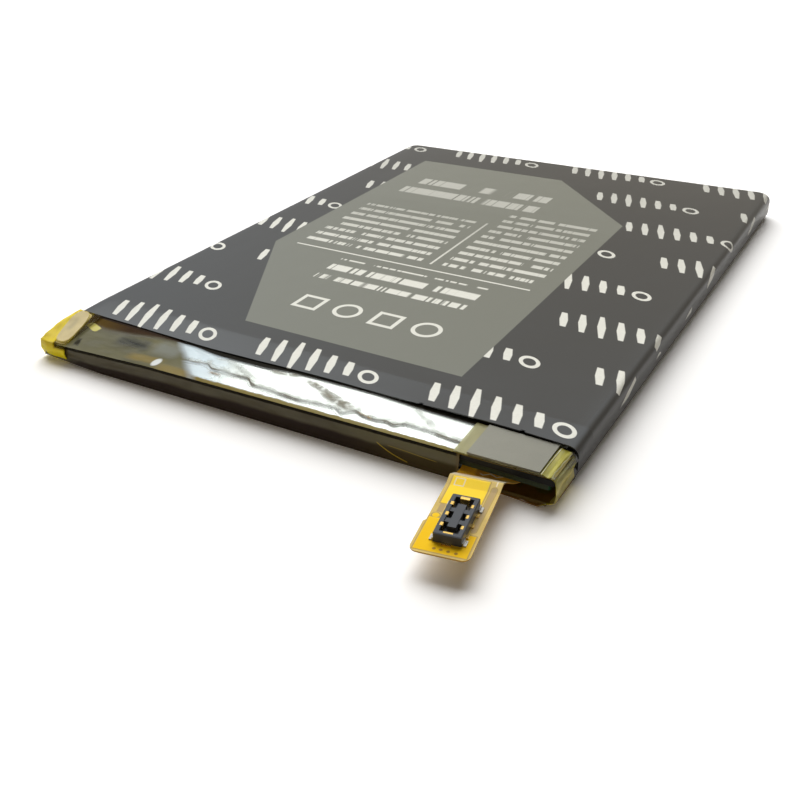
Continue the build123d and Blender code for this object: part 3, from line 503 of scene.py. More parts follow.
# Wrap tape: clear yellow tape drawn over the ledge, folded down its front and back under the cell. It is
# modelled as a flat sheet, folded row by row round the ledge, creased where it was drawn over it, and cut
# out where the lead leaves.
def select(piece, kind, test):
    """Edit mode, with the edges or faces selected whose middle (mm) and direction or normal pass the test."""
    bpy.context.view_layer.objects.active = piece
    bpy.ops.object.mode_set(mode="EDIT")
    bpy.ops.mesh.select_mode(type=kind)
    bpy.ops.mesh.select_all(action="DESELECT")
    bpy.ops.object.mode_set(mode="OBJECT")
    mesh = piece.data
    if kind == "FACE":
        for face in mesh.polygons:
            face.select = test(face.center / mm, face.normal)
    else:
        for edge in mesh.edges:
            start, end = [mesh.vertices[index].co for index in edge.vertices]
            edge.select = test((start + end) / (2 * mm), (end - start).normalized())
    bpy.ops.object.mode_set(mode="EDIT")


def between(table, place, even=False):
    """The value at a place in a table of places and values, on a soft curve or even runs between them."""
    for (start, first), (end, second) in zip(table, table[1:]):
        if place <= end:
            share = min(max((place - start) / (end - start), 0), 1)
            if not even:
                share = share * share * (3 - 2 * share)
            return first + (second - first) * share
    return table[-1][1]


def finish_with(piece, kind, **settings):
    """Adds a modifier with these settings and applies it."""
    bpy.ops.object.select_all(action="DESELECT")
    piece.select_set(True)
    bpy.context.view_layer.objects.active = piece
    modifier = piece.modifiers.new(kind.lower(), kind)
    for name, setting in settings.items():
        setattr(modifier, name, setting)
    bpy.ops.object.modifier_apply(modifier=modifier.name)


def smooth(piece, angle):
    bpy.ops.object.select_all(action="DESELECT")
    piece.select_set(True)
    bpy.context.view_layer.objects.active = piece
    bpy.ops.object.shade_smooth_by_angle(angle=radians(angle))


strip_half = 30.6
strip_bend = -15.3
strip_crest = 9.792
tape_sheet = 0.08


def depth(x):
    return between(((-strip_half, 6.1), (strip_half, 4.6)), x, even=True)


def root_height(x):
    heights = ((-strip_half, 3.2), (strip_bend, 2.88), (strip_crest, 3.28), (strip_half, 2.98))
    return between(heights, x, even=True)


def fold_height(x):
    heights = ((-strip_half, 1.95), (strip_bend, 2.55), (strip_crest, 2.71), (strip_half, 2.85))
    return between(heights, x, even=True)


def foot_height(x):
    return between(((-strip_half, 0.6), (-22.0, 0.08), (strip_half, 0.05)), x, even=True)


# Curves along the strip: how far from the mouth the long crease runs, and how wide the painted shadow of the
# gap under the film is. Each has its places along the strip and its values there.
crease_line = (
    (-13.5, 3.3), (-11.5, 2.9), (-9.4, 2.6), (-8.2, 3.1), (-5.3, 3.05), (-3.7, 3.0), (-2.4, 3.8),
    (1.6, 3.95), (3.1, 4.05), (6.4, 3.7), (7.6, 3.7), (8.5, 4.15), (9.7, 3.3), (10.8, 3.65),
    (12.2, 3.7), (13.1, 3.45), (14.1, 3.65), (15.0, 3.1), (17.2, 3.1), (20.5, 3.3),
)
crease_start = -13.5
crease_end = 20.6
gap_shadow_widths = (
    (-strip_half, 0.25), (-14.0, 0.25), (-9.0, 0.75), (-3.5, 0.7), (0.0, 0.3), (5.0, 0.2),
    (12.0, 0.2), (16.0, 0.35), (21.0, 0.3), (25.0, 0.45), (28.0, 0.8), (strip_half, 1.0),
)
tuck = 1.3
trimmed_from = 30.05
window_left = 21.7
window_from = 3.5
window_low, window_high = 0.3, 2.72
# Rows of the sheet: (part of the profile, share along it). The parts are the tuck, the top, the upper
# front, the lower front and the base.
rows = [(0, step / 3) for step in range(3)] + [(1, step / 16) for step in range(16)]
rows += [(2, 0), (2, 0.06), (2, 0.17)] + [(2, 0.17 + 0.83 * step / 5) for step in range(1, 5)]
rows += [(3, step / 4) for step in range(4)] + [(4, step / 4) for step in range(5)]
columns = 205
bpy.ops.object.select_all(action="DESELECT")
bpy.ops.mesh.primitive_grid_add(x_subdivisions=columns, y_subdivisions=len(rows) - 1, size=2)
ledge_wrap = bpy.context.object
ledge_wrap.name = "ledge_wrap"
curve_names = ("beyond_crease", "beyond_gap_shadow", "to_fold", "below_fold")
for name in curve_names:
    ledge_wrap.data.attributes.new(name, "FLOAT", "POINT")
curves = [ledge_wrap.data.attributes[name].data for name in curve_names]
for vertex in ledge_wrap.data.vertices:
    x = vertex.co.x * strip_half
    part, share = rows[round((vertex.co.y + 1) / 2 * (len(rows) - 1))]
    front = mouth_y - depth(x)
    corners = (
        (mouth_y + tuck, root_height(x)), (mouth_y, root_height(x)), (front, fold_height(x)),
        (front - 0.1, fold_height(x) - 1.3), (front - 0.3, foot_height(x)), (mouth_y + tuck, 0.05),
    )
    start, end = Vector(corners[part]), Vector(corners[part + 1])
    y, z = start.lerp(end, share)
    away = mouth_y - y
    if part < 2:
        ridge = max(0, 1 - abs(away - between(crease_line, x)) / 0.45) * (crease_start < x < crease_end)
        swell = max(0, noise.noise(Vector((x * 0.5, away * 0.9, 0)))) * min(1, max(0, away), 3 * (1 - share))
        z += 0.06 * ridge + 0.1 * swell
    if part in (2, 3):
        down = fold_height(x) - z
        bulge = noise.noise(Vector((x * 0.3, down * 1.2, 4))) * 0.1
        y -= bulge * min(1, down) * min(1, 2 * (z - foot_height(x)))
    if part > 2:
        x -= max(0, x - trimmed_from) * min(1, max(0, away) / depth(x))
    vertex.co = Vector((x, y, z)) * mm
    beyond = [away - between(table, x) for table in (crease_line, gap_shadow_widths)]
    for curve, value in zip(curves, (*beyond, depth(x) - away, fold_height(x) - z)):
        curve[vertex.index].value = value


def in_window(middle, way):
    past_mouth = middle.y < mouth_y - window_from
    return past_mouth and middle.x > window_left and window_low < middle.z < window_high


select(ledge_wrap, "FACE", in_window)
bpy.ops.mesh.delete(type="FACE")
bpy.ops.object.mode_set(mode="OBJECT")
select(ledge_wrap, "FACE", lambda middle, way: middle.y > mouth_y + 0.01 and abs(middle.x) > 28.1)
bpy.ops.mesh.delete(type="FACE")
bpy.ops.mesh.select_all(action="SELECT")
bpy.ops.mesh.flip_normals()
bpy.ops.object.mode_set(mode="OBJECT")
finish_with(ledge_wrap, "SOLIDIFY", thickness=tape_sheet * mm, offset=-1)
smooth(ledge_wrap, 50)


def filmed(finish, cover, bare_colour, film_side):
    """Clear film: the film's own side over what shows through it, by a share from 0 to 1."""
    bare = finish.node("BsdfTransparent", {}, {"Color": (*bare_colour, 1)})
    finish.done(finish.node("MixShader", {}, {0: cover, 1: bare, 2: film_side}))


clear_tape = Finish("clear_tape")
x, y, z = clear_tape.place()
away = mouth_y - y
beyond_crease, beyond_gap_shadow, to_fold, below_fold = [
    clear_tape.node("Attribute", {"attribute_name": name}, {}, "Fac") for name in curve_names
]
streaks = clear_tape.noise((x * 0.25, y, z), 0.9, 4).spread(0, 1)
lees = clear_tape.noise((x * 0.5, y, z), 2.6, 3) - 0.5
fine = clear_tape.noise((x * 0.6, y, z), 0.5, 3) - 0.5
flat_side = abs(facing_up(clear_tape)).rise(0.3, 0.6)


def smear(start, end, width, ragged=1.0):
    """A soft streak between two places on the strip, (along, away from the mouth), in millimetres."""
    along = x + ragged * (0.8 * lees + 0.5 * fine)
    down = away + ragged * (0.5 * lees + 0.6 * fine)
    share, off = from_line(along, down, start, end)
    return off.rise(width**2, 0) * abs(share - 0.5).rise(0.52, 0.2)


# The foil's part: nearly clear tape, with painted shade above the long crease, painted dark lines of crease
# shade along it, and a few smears.
foil_part = (x + 1.6 * lees - 1.1 * away).rise(-16.2, -14.3)
uneven_foil = (fine + 0.5).rise(0.3, 0.6)
pale_smears = smear((-8.6, 0.5), (-1.6, 3.5), 0.6).most(smear((13.3, -0.6), (18.6, 2.9), 0.6))
pale_smears = pale_smears.most(smear((-9.6, 1.3), (-6.0, 0.8), 0.3)) * (0.5 + 0.5 * uneven_foil)
olive_smears = smear((1.6, 0.6), (7.4, 2.4), 0.5).most(smear((4.0, 1.6), (10.2, 3.4), 0.75))
olive_smears = olive_smears.most(0.8 * smear((-3.0, 0.9), (1.8, 0.3), 0.3))
olive_smears = olive_smears * (0.35 + 0.65 * uneven_foil)
# Painted shade: a soft grey shade above the crease and thin dark lines along it.
shade_above_crease = (beyond_crease + 1.4 * fine).rise(-1.0, -0.05) * beyond_crease.rise(0.06, -0.02)
uneven = clear_tape.noise((x, 0, 4), 3.0, 2).rise(0.38, 0.58)
crease_shade = abs(beyond_crease).rise(0.16, 0.07) * (0.6 + 0.4 * uneven)
second_crease_shade = abs(beyond_crease - 0.42 - 0.3 * lees).rise(0.07, 0.03) * x.rise(10.5, 9.0) * 0.55
# Painted reflection: the tape over the foil is painted bluer towards the left.
foil_tint_and_reflection = x.rise(-3.0, -10.0).mix((0.86, 0.90, 0.88), (0.74, 0.86, 0.95))
gold_bits = smear((-8.5, 3.75), (-6.5, 3.7), 0.16).most(smear((9.9, 3.3), (12.0, 3.75), 0.16))
crease_shade_colour = uneven.mix((0.06, 0.065, 0.06), (0.075, 0.055, 0.014))
tape_colour = (0.6 * pale_smears).most(0.7 * shade_above_crease).mix(foil_tint_and_reflection, (0.25, 0.26, 0.20))
tape_colour = olive_smears.mix(tape_colour, (0.20, 0.175, 0.10))
tape_colour = crease_shade.most(second_crease_shade).mix(tape_colour, crease_shade_colour)
tape_colour = gold_bits.mix(tape_colour, (0.24, 0.13, 0.015))
cover = (0.12 + 0.25 * x.rise(-4.0, -9.0)).most(0.33 * pale_smears, 0.65 * olive_smears, 0.42 * shade_above_crease)
cover = cover.most(0.85 * crease_shade, 0.6 * second_crease_shade, 0.6 * gold_bits)

# The left part: dark olive, with a brown band by the mouth, a grey patch, an amber one by the fold, and
# small glints.
olive = (lees + 0.5).spread(0, 1).mix((0.075, 0.066, 0.022), (0.130, 0.118, 0.042))
amber_patch = smear((-19.4, 4.7), (-13.6, 4.4), 0.8, 0.5).most(smear((-15.0, 5.3), (-9.0, 5.1), 0.9, 0.5))
olive = (0.85 * amber_patch).mix(olive, (0.210, 0.150, 0.020))
grey_patch = clear_tape.field(x + 2 * lees, away + 0.7 * fine, -22.4, -17.6, 1.6, 3.4, 0.6)
grey_patch = grey_patch * (0.5 + 0.5 * streaks)
olive = grey_patch.mix(olive, (0.014, 0.015, 0.013))
pale_patch = clear_tape.field(x + 0.6 * lees, away + 0.5 * fine, -17.0, -13.6, 0.9, 3.2, 0.8)
olive = (0.75 * pale_patch).mix(olive, (0.185, 0.195, 0.165))
brown_band = (away + 0.6 * lees - (0.3 - 0.16 * (x + 14.5)).least(1.7)).rise(0.6, -0.7)
olive = brown_band.mix(olive, x.rise(-22.0, -27.5).mix((0.030, 0.015, 0.005), (0.085, 0.050, 0.008)))
smudge = smear((-26.9, 5.0), (-26.0, 4.7), 0.8)
olive = (0.9 * smudge).mix(olive, (0.008, 0.006, 0.003))
glint = smear((-28.1, 1.5), (-25.7, 2.2), 0.55, 0.5).rise(0.0, 0.5)
olive = glint.mix(olive, (0.60, 0.52, 0.05))
white_glint = (3 * (x + 14.75).squared() + 1.3 * (away - 4.6).squared()).rise(1.0, 0.35)
olive = white_glint.mix(olive, (0.72, 0.75, 0.73))
tape_colour = foil_part.mix(olive, tape_colour)
cover = (cover * foil_part + 0.93 * (1 - foil_part)).least(0.95)
dull = brown_band.most(smudge, 0.5, 0.85 * grey_patch) * (1 - foil_part) * (1 - white_glint.most(glint))

# The fold: a gold edge over the foil, then a dark line of painted shade, a grey-olive band and a dark brown
# foot of painted shade down the front. Two gold creases run across it.
gold_edge = (to_fold + 0.35 * fine).rise(0.85 - 0.012 * (x + 12), 0.42) * foil_part
tape_colour = gold_edge.mix(tape_colour, x.rise(-12.0, 8.0).mix((0.155, 0.108, 0.001), (0.200, 0.155, 0.028)))
cover = cover.most(0.92 * gold_edge)
# Painted shade: the dark line under the fold and the dark brown foot of the wall.
fold_shade_line = (below_fold + 0.1 * fine).rise(0.42, 0.28)
foot = (below_fold + 0.5 * lees).rise(1.15, 1.6)
front_colour = streaks.mix((0.072, 0.059, 0.026), (0.100, 0.088, 0.046))
front_colour = x.rise(6.0, 16.0).mix(front_colour, (0.125, 0.108, 0.040))
front_colour = fold_shade_line.mix(front_colour, (0.012, 0.009, 0.001))
front_colour = foot.mix(front_colour, x.rise(8.0, 18.0).mix((0.030, 0.020, 0.015), (0.062, 0.045, 0.016)))
along = x - 13.1
first_crease = abs(below_fold - 1.2 - 0.55 * along + 0.058 * along.squared()).rise(0.07, 0.03)
first_crease = first_crease * abs(along - 1.7).rise(1.75, 1.55)
second_crease = abs(below_fold - 1.2 - 0.057 * (x - 14.2)).rise(0.06, 0.02) * abs(x - 16.9).rise(2.7, 2.3)
wall_creases = first_crease.most(0.5 * second_crease)
front_colour = wall_creases.mix(front_colour, (0.46, 0.33, 0.025))
front_colour = x.rise(21.25, 21.6).mix(front_colour, (0.14, 0.10, 0.03))
tape_colour = flat_side.mix(front_colour, tape_colour)
cover = cover * flat_side + 0.95 * (1 - flat_side)
dull = dull.most(0.6 * gold_edge) * flat_side + (0.35 + 0.6 * foot.most(fold_shade_line)) * (1 - flat_side)
# Painted shadow: the gap under the film's mouth is painted near black.
gap_shadow = beyond_gap_shadow.rise(0.07, -0.07) * flat_side
tape_colour = gap_shadow.mix(tape_colour, foil_part.mix((0.016, 0.008, 0.003), (0.004, 0.003, 0.001)))
cover = cover.most(gap_shadow)
dull = dull.most(gap_shadow)
glossy = clear_tape.surface(
    tape_colour,
    Roughness=0.12 + 0.12 * streaks,
    Normal=clear_tape.bumps(streaks + 2 * lees, 0.35, 0.1),
)
matt = clear_tape.surface(tape_colour, Roughness=0.6, Specular_IOR_Level=0.06)
film_side = clear_tape.node("MixShader", {}, {0: dull, 1: glossy, 2: matt})
filmed(clear_tape, cover, (0.99, 0.99, 0.975), film_side)
ledge_wrap.data.materials.append(clear_tape.material)
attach(ledge_wrap, "root")
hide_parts("wrap_tape")

# Cover tape: a second layer of clear tape on the strip's top. Its greenish margin shows beside the grey
# plate.
cover_tape = Finish("cover_tape")
x, y, z = cover_tape.place()
streaks = cover_tape.noise((x, y * 0.3, z), 0.7, 3)
film_side = cover_tape.surface(
    streaks.mix((0.36, 0.335, 0.14), (0.54, 0.51, 0.29)),
    Roughness=0.3,
    Normal=cover_tape.bumps(streaks, 0.4, 0.06),
)
filmed(cover_tape, 0.55, (0.93, 0.93, 0.80), film_side)
dress(cover_tape, "cover_tape")

# Bottom flap: the loose tongue of brown see-through tape below the window, stuck down along the cell's foot.
# Its free corner has curled up a little.
def copied(node, name):
    """A copy of a CAD node's mesh as a piece of its own, with its doubled corners merged."""
    bpy.ops.object.select_all(action="DESELECT")
    piece = bpy.data.objects.new(name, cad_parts[node].data.copy())
    bpy.context.scene.collection.objects.link(piece)
    piece.data.materials.clear()
    piece.select_set(True)
    bpy.context.view_layer.objects.active = piece
    bpy.ops.object.mode_set(mode="EDIT")
    bpy.ops.mesh.select_all(action="SELECT")
    bpy.ops.mesh.remove_doubles(threshold=0.002 * mm)
    bpy.ops.object.mode_set(mode="OBJECT")
    return piece


def cut(piece, axis, places):
    """Cuts the whole piece across an axis at each place in millimetres."""
    bpy.context.view_layer.objects.active = piece
    bpy.ops.object.mode_set(mode="EDIT")
    across = Vector([float(name == axis) for name in "XYZ"])
    for place in places:
        bpy.ops.mesh.select_all(action="SELECT")
        bpy.ops.mesh.bisect(plane_co=across * place * mm, plane_no=across)
    bpy.ops.object.mode_set(mode="OBJECT")


def steps(low, high, pitch):
    return [low + pitch * (index + 1) for index in range(int((high - low) / pitch - 0.01))]


flap_right = 30.7
flap_curl = copied("bottom_flap", "flap_curl")
cut(flap_curl, "X", steps(window_left, flap_right, 0.35))
cut(flap_curl, "Y", steps(-44.4, -39.1, 0.3))
for vertex in flap_curl.data.vertices:
    spot = vertex.co / mm
    corner = max(0, 1 - (Vector((flap_right, -44.35)) - spot.xy).length / 1.5)
    wave = noise.noise(Vector((spot.x * 0.6, spot.y * 0.6, 2)))
    vertex.co.z += (0.6 * corner**1.6 + 0.05 * max(0, wave) * min(1, mouth_y - spot.y)) * mm
    vertex.co.x -= 0.35 * corner**2 * mm
smooth(flap_curl, 45)
brown_tape = Finish("brown_tape")
x, y, z = brown_tape.place()
streaks = brown_tape.noise((x, y, z), 1.1, 3)
# Painted light: the corner is painted yellower where it curls up off the pack.
lit_curl = z.rise(0.14, 0.4)
film_side = brown_tape.surface(
    lit_curl.mix(streaks.mix((0.24, 0.125, 0.025), (0.46, 0.27, 0.06)), (0.60, 0.54, 0.04)),
    Roughness=0.2,
    Normal=brown_tape.bumps(streaks, 0.5, 0.1),
)
filmed(brown_tape, 0.7, (0.62, 0.42, 0.16), film_side)
flap_curl.data.materials.append(brown_tape.material)
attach(flap_curl, "root")
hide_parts("bottom_flap")

# End pad and left end tape: a cream pad, and bright yellow tape folded over it and round the strip's end.
# The tape bellies out where it turns round the end.
cream_pad = Finish("cream_pad")
x, y, z = cream_pad.place()
fibres = cream_pad.noise((x, y, z), 0.7, 4)
lean = x + 0.22 * (y - mouth_y)
middle = cream_pad.field(lean, y, -29.9, -29.2, -43.6, -39.9, 0.25)
cream_pad.done(
    cream_pad.surface(
        (0.6 * middle).mix(fibres.mix((0.52, 0.44, 0.24), (0.70, 0.61, 0.38)), (0.42, 0.39, 0.29)),
        Roughness=0.6,
        Normal=cream_pad.bumps(fibres, 0.5, 0.05),
    )
)
dress(cream_pad, "end_pad")

end_wrap = copied("left_end_tape", "end_wrap")
cut(end_wrap, "X", steps(-30.9, -27.2, 0.25))
cut(end_wrap, "Y", steps(-45.4, -39.05, 0.3))
cut(end_wrap, "Z", steps(0.15, 3.45, 0.3))
for vertex in end_wrap.data.vertices:
    spot = vertex.co / mm
    outward = max(0, min(1, (-30.0 - spot.x) / 0.7))
    forward = max(0, min(1, (mouth_y - spot.y) / 6.2))
    raised = max(0, min(1, (spot.z - 0.9) / 1.6))
    front_end = max(0, 1 - ((spot.y + 45.2) / 0.9) ** 2) if spot.y < -44.3 else 0
    wave = Vector(
        [noise.noise(Vector((spot.x * 0.9, spot.y * 0.9, spot.z * 0.9 + seed))) for seed in (0, 7, 13)]
    )
    vertex.co.x -= (0.25 * sin(pi * forward) + 0.45 * forward**4 * (1 - max(0, spot.z - 2.6))) * outward * mm
    vertex.co.z += 0.22 * outward * sin(pi * forward) * raised * mm
    vertex.co.y += 0.35 * outward * front_end * mm
    vertex.co += wave * 0.07 * mm * min(1, mouth_y - spot.y)
smooth(end_wrap, 50)
yellow_tape = Finish("yellow_tape")
x, y, z = yellow_tape.place()
streaks = yellow_tape.noise((x, y, z), 0.9, 3)
lean = x + 0.26 * (y - mouth_y)
rim = lean.rise(-30.3, -30.7)
off_middle = abs(lean + 29.85) / 1.14
off_centre = abs(y + 41.9) / 2.8
off_pad = off_middle * off_middle.squared() + off_centre * off_centre.squared()
padded = off_pad.rise(1.15, 0.8)
inner = lean.rise(-28.9, -28.4)
low_front = z.rise(1.9, 1.5)
colour = streaks.mix((0.72, 0.54, 0.002), (0.92, 0.73, 0.006))
cream = streaks.mix((0.60, 0.50, 0.26), (0.78, 0.67, 0.38))
grey_middle = yellow_tape.field(lean, y, -30.4, -29.8, -42.6, -40.6, 0.4)
cream = (0.45 * grey_middle).mix(cream, (0.34, 0.31, 0.22))
colour = low_front.mix(colour, (0.90, 0.76, 0.006))
colour = inner.mix(colour, (0.050, 0.032, 0.010))
colour = (padded * (1 - low_front)).mix(colour, cream)
glossy = yellow_tape.surface(
    colour,
    Roughness=0.16 + 0.1 * streaks,
    Normal=yellow_tape.bumps(streaks, 0.5, 0.14),
)
dull = yellow_tape.surface(colour, Roughness=0.6, Specular_IOR_Level=0.05)
film_side = yellow_tape.node("MixShader", {}, {0: (0.5 + 0.4 * inner).most(0.8 * padded), 1: glossy, 2: dull})
cover = 0.04 + 0.9 * rim.most(low_front, padded) + 0.3 * inner * (1 - low_front)
filmed(yellow_tape, cover.least(0.95), (1.0, 0.99, 0.93), film_side)
end_wrap.data.materials.append(yellow_tape.material)
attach(end_wrap, "root")
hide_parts("left_end_tape")

# Right end tape: clear yellow tape folded over the strip's right end. It is too wide for it, so it stands
# in pleats that run down over the corner. It is folded from a flat sheet along the lines below, from the
# plate to the ground. Each line has its place (across, height) at the mouth and at the front.
pleat_lines = (
    ((29.25, 3.03), (29.25, 2.95)), ((29.5, 3.10), (29.42, 3.07)), ((29.95, 3.06), (29.95, 2.86)),
    ((30.45, 3.09), (30.25, 2.98)), ((30.85, 2.75), (30.72, 2.62)), ((31.02, 2.2), (30.85, 2.1)),
    ((30.78, 1.6), (31.0, 1.4)), ((31.03, 0.95), (30.88, 0.5)), ((30.75, 0.06), (30.1, 0.05)),
)
pleat_depth = 4.62
pleat_bulge_top = 2.2
pleat_rows = 18
pleat_steps = 4
pleat_columns = pleat_steps * (len(pleat_lines) - 1)
bpy.ops.object.select_all(action="DESELECT")
bpy.ops.mesh.primitive_grid_add(x_subdivisions=pleat_columns, y_subdivisions=pleat_rows, size=2)
end_pleats = bpy.context.object
end_pleats.name = "end_pleats"
end_pleats.data.attributes.new("across", "FLOAT", "POINT")
across_tape = end_pleats.data.attributes["across"].data
for vertex in end_pleats.data.vertices:
    column = round((vertex.co.x + 1) / 2 * pleat_columns)
    forward = (1 - vertex.co.y) / 2
    index = min(column // pleat_steps, len(pleat_lines) - 2)
    share = column / pleat_steps - index
    start, end = [Vector(near).lerp(Vector(far), forward) for near, far in pleat_lines[index : index + 2]]
    place = start.lerp(end, share)
    bend = sin(pi * forward) * 0.06 * (-1) ** index
    lower_share = min(1, max(0, (pleat_bulge_top - place.y) / pleat_bulge_top))
    y = mouth_y - forward * (pleat_depth + 0.25 * sin(pi * lower_share))
    vertex.co = Vector((place.x + bend * (index > 3), y, place.y + bend * (index < 4))) * mm
    across_tape[vertex.index].value = column / pleat_steps
finish_with(end_pleats, "SOLIDIFY", thickness=tape_sheet * mm, offset=-1)
smooth(end_pleats, 12)
pleated_tape = Finish("pleated_tape")
x, y, z = pleated_tape.place()
across = pleated_tape.node("Attribute", {"attribute_name": "across"}, {}, "Fac")
streaks = pleated_tape.noise((across * 1.1, y * 0.3, 0), 1.0, 2).spread(0, 1)
lees = pleated_tape.noise((x, y, z), 1.3, 2)
bent = across + 0.9 * (lees - 0.5)
colour = streaks.mix((0.32, 0.29, 0.025), (0.60, 0.56, 0.13))
# Painted highlight: pale lines along the pleats' crests.
crest_highlight = abs(across - 0.7).rise(0.26, 0.08).most(
    0.6 * abs(bent - 3.1).rise(0.14, 0.04), 0.5 * abs(bent - 7.2).rise(0.3, 0.05)
)
# Painted shade: the hollow facets are painted dark olive, darker near the mouth.
by_mouth = (mouth_y - y).rise(3.3, 1.3)
shaded_hollow = bent.rise(3.1, 3.3) * bent.rise(4.9, 4.3) * (0.25 + 0.75 * by_mouth)
shaded_hollow = shaded_hollow.most(0.45 * bent.rise(5.5, 6.1) * bent.rise(7.1, 6.7))
# Painted light: the lower facets are painted bright yellow and more opaque, though they face away from the
# lamp.
lower = bent.rise(4.6, 5.6)
colour = (0.75 * lower).mix(colour, (0.92, 0.80, 0.22))
colour = (0.9 * shaded_hollow * (1 - crest_highlight)).mix(colour, (0.080, 0.064, 0.006))
colour = crest_highlight.mix(colour, (0.88, 0.88, 0.70))
# Painted shadow: the tape by the film's mouth is painted near black.
gap_shadow = (mouth_y - y - 0.10 * across).rise(0.15, -0.05)
colour = gap_shadow.mix(colour, (0.006, 0.005, 0.003))
film_side = pleated_tape.surface(
    colour,
    Roughness=0.14 + 0.12 * streaks,
    Specular_IOR_Level=0.35,
    Normal=pleated_tape.bumps(streaks + lees, 0.4, 0.08),
)
cover = (0.6 + 0.3 * lees).most(0.9 * crest_highlight, 0.85 * lower, gap_shadow)
filmed(pleated_tape, cover, (0.90, 0.87, 0.50), film_side)
end_pleats.data.materials.append(pleated_tape.material)
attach(end_pleats, "root")
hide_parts("right_end_tape")

# Grey plate: a thin stiff plate cut from coated sheet and laid on the cover tape, over the right part of the
# strip. Its coat is fine and matt.
grey_plate = Finish("grey_plate")
x, y, z = grey_plate.place()
speckle = grey_plate.noise((x, y, z), 0.07, 2)
haze = grey_plate.noise((x, y, z), 1.6, 2)
grey_plate.done(
    grey_plate.surface(
        (0.7 * speckle + 0.3 * haze - 0.05 * (x - 24)).mix((0.150, 0.146, 0.112), (0.22, 0.214, 0.168)),
        Roughness=0.42,
        Normal=grey_plate.bumps(speckle, 0.4, 0.01),
    )
)
dress(grey_plate, "grey_plate")

# Printed film: a sleeve of black film, printed in grey and cream and shrunk round the cell. Its far end is
# closed, and its open mouth sags where nothing fills it. It is modelled as a box with rolled edges and no near
# face, cut into strips so that the mouth can follow its wave, and given its thickness last.
film_half = 31.0
film_far = 39.0
film_top = 3.5
film_sheet = 0.12
upright_radius = 2.0
edge_radius = 1.0
sag_reach = 3.6
film_low = Vector((-film_half, mouth_y, 0))
film_high = Vector((film_half, film_far, film_top))
bpy.ops.object.select_all(action="DESELECT")
bpy.ops.mesh.primitive_cube_add(size=1, location=(film_low + film_high) * mm / 2)
film_sleeve = bpy.context.object
film_sleeve.name = "film_sleeve"
film_sleeve.scale = (film_high - film_low) * mm
bpy.ops.object.transform_apply(location=True, rotation=True, scale=True)
select(film_sleeve, "EDGE", lambda middle, way: abs(way.z) > 0.9 and middle.y > 0)
bpy.ops.mesh.bevel(offset=upright_radius * mm, segments=7, affect="EDGES")
select(film_sleeve, "EDGE", lambda middle, way: abs(way.z) < 0.1 and middle.y > mouth_y + 1)
bpy.ops.mesh.bevel(offset=edge_radius * mm, segments=6, affect="EDGES")
select(film_sleeve, "FACE", lambda middle, way: middle.y < mouth_y + 0.1)
bpy.ops.mesh.delete(type="FACE")
bpy.ops.object.mode_set(mode="OBJECT")
nicks = (15.0, 25.5)
mouth_rings = (0.25, 0.7, 1.3, 2.0, 2.7, 3.2, 3.6, 4.0, 6.0, 10.0, 18.0, 30.0, 50.0)
cut(film_sleeve, "Y", [mouth_y + ring for ring in mouth_rings])
cut(film_sleeve, "X", [-29 + 2 * step for step in range(30)])
cut(film_sleeve, "X", [nick + step for nick in nicks for step in (-0.25, 0, 0.25)])
mouth_heights = (
    (-31, 3.36), (-24.8, 3.22), (-18.6, 3.09), (-12.4, 3.07), (-6.2, 3.18), (0, 3.28),
    (6.2, 3.38), (12.4, 3.45), (18.6, 3.56), (24.8, 3.57), (29.0, 3.50), (31, 3.44),
)
mouth_edges = ((-31, 0.0), (-20, 0.12), (-9, -0.05), (2, 0.1), (12, -0.06), (22, 0.08), (31, 0.0))
for vertex in film_sleeve.data.vertices:
    spot = vertex.co / mm
    inward = max(0, 1 - (spot.y - mouth_y) / sag_reach)
    lift = between(mouth_heights, spot.x) - film_top
    vertex.co.z += lift * inward**1.2 * (spot.z / film_top) ** 3 * mm
    vertex.co.y += between(mouth_edges, spot.x) * inward**2 * mm
    if spot.y < mouth_y + 0.01 and spot.z > 2 and min(abs(spot.x - nick) for nick in nicks) < 0.05:
        vertex.co.y += 0.35 * mm
        vertex.co.z -= 0.12 * mm
finish_with(film_sleeve, "SOLIDIFY", thickness=film_sheet * mm, offset=-1)
smooth(film_sleeve, 35)

printed_film = Finish("printed_film")
x, y, z = printed_film.place()
rolled = x.rise(29.2, 30.6) - x.rise(-29.2, -30.6)
round_x = x + rolled * (film_top - z)
label_side = z.rise(1.6, 1.9)
bar_pitch = 2.2
bars_before = 7.7


def bars(u, v, pitch_u, pitch_v):
    """Rows of small slanted bars with a ring at their end, each row shifted along by its own amount."""
    row = (v / pitch_v).floor()
    shift = (row * 0.383) % 1.0
    v = (v % pitch_v) - pitch_v / 2
    u = ((u + 0.32 * v + shift * pitch_u) % pitch_u) - pitch_u / 2
    index = ((u + bars_before) / bar_pitch).floor()
    beside = abs(((u + bars_before) % bar_pitch) - bar_pitch / 2)
    height = 2.5 - 0.42 * abs(index - 2)
    thick = 0.5 - 0.1 * abs(v)
    bar = (beside - thick).rise(0.06, -0.06) * (abs(v) - height).rise(0.08, -0.08)
    bar = bar * (index > -0.5) * (index < 5.5)
    away = (u - 6.9).squared() + (v + 0.5).squared()
    ring = away.rise(1.5, 1.35) * away.rise(0.45, 0.6)
    return bar.most(ring)


def lines(u, v, pitch, share, word, seed):
    """Thin broken lines, as rows of filled marks of uneven length."""
    row = (v / pitch).floor()
    inside = abs((v % pitch) / pitch - 0.5)
    gaps = printed_film.noise((u / word, row * 7.3 + seed, 0), 1.0, 1)
    fine = printed_film.noise((u * 2.4, row * 3.1 + seed, 5), 1.0, 0)
    marks = gaps.rise(0.36, 0.40) * fine.rise(0.28, 0.42)
    return marks * inside.rise(share / 2 + 0.05, share / 2 - 0.05)


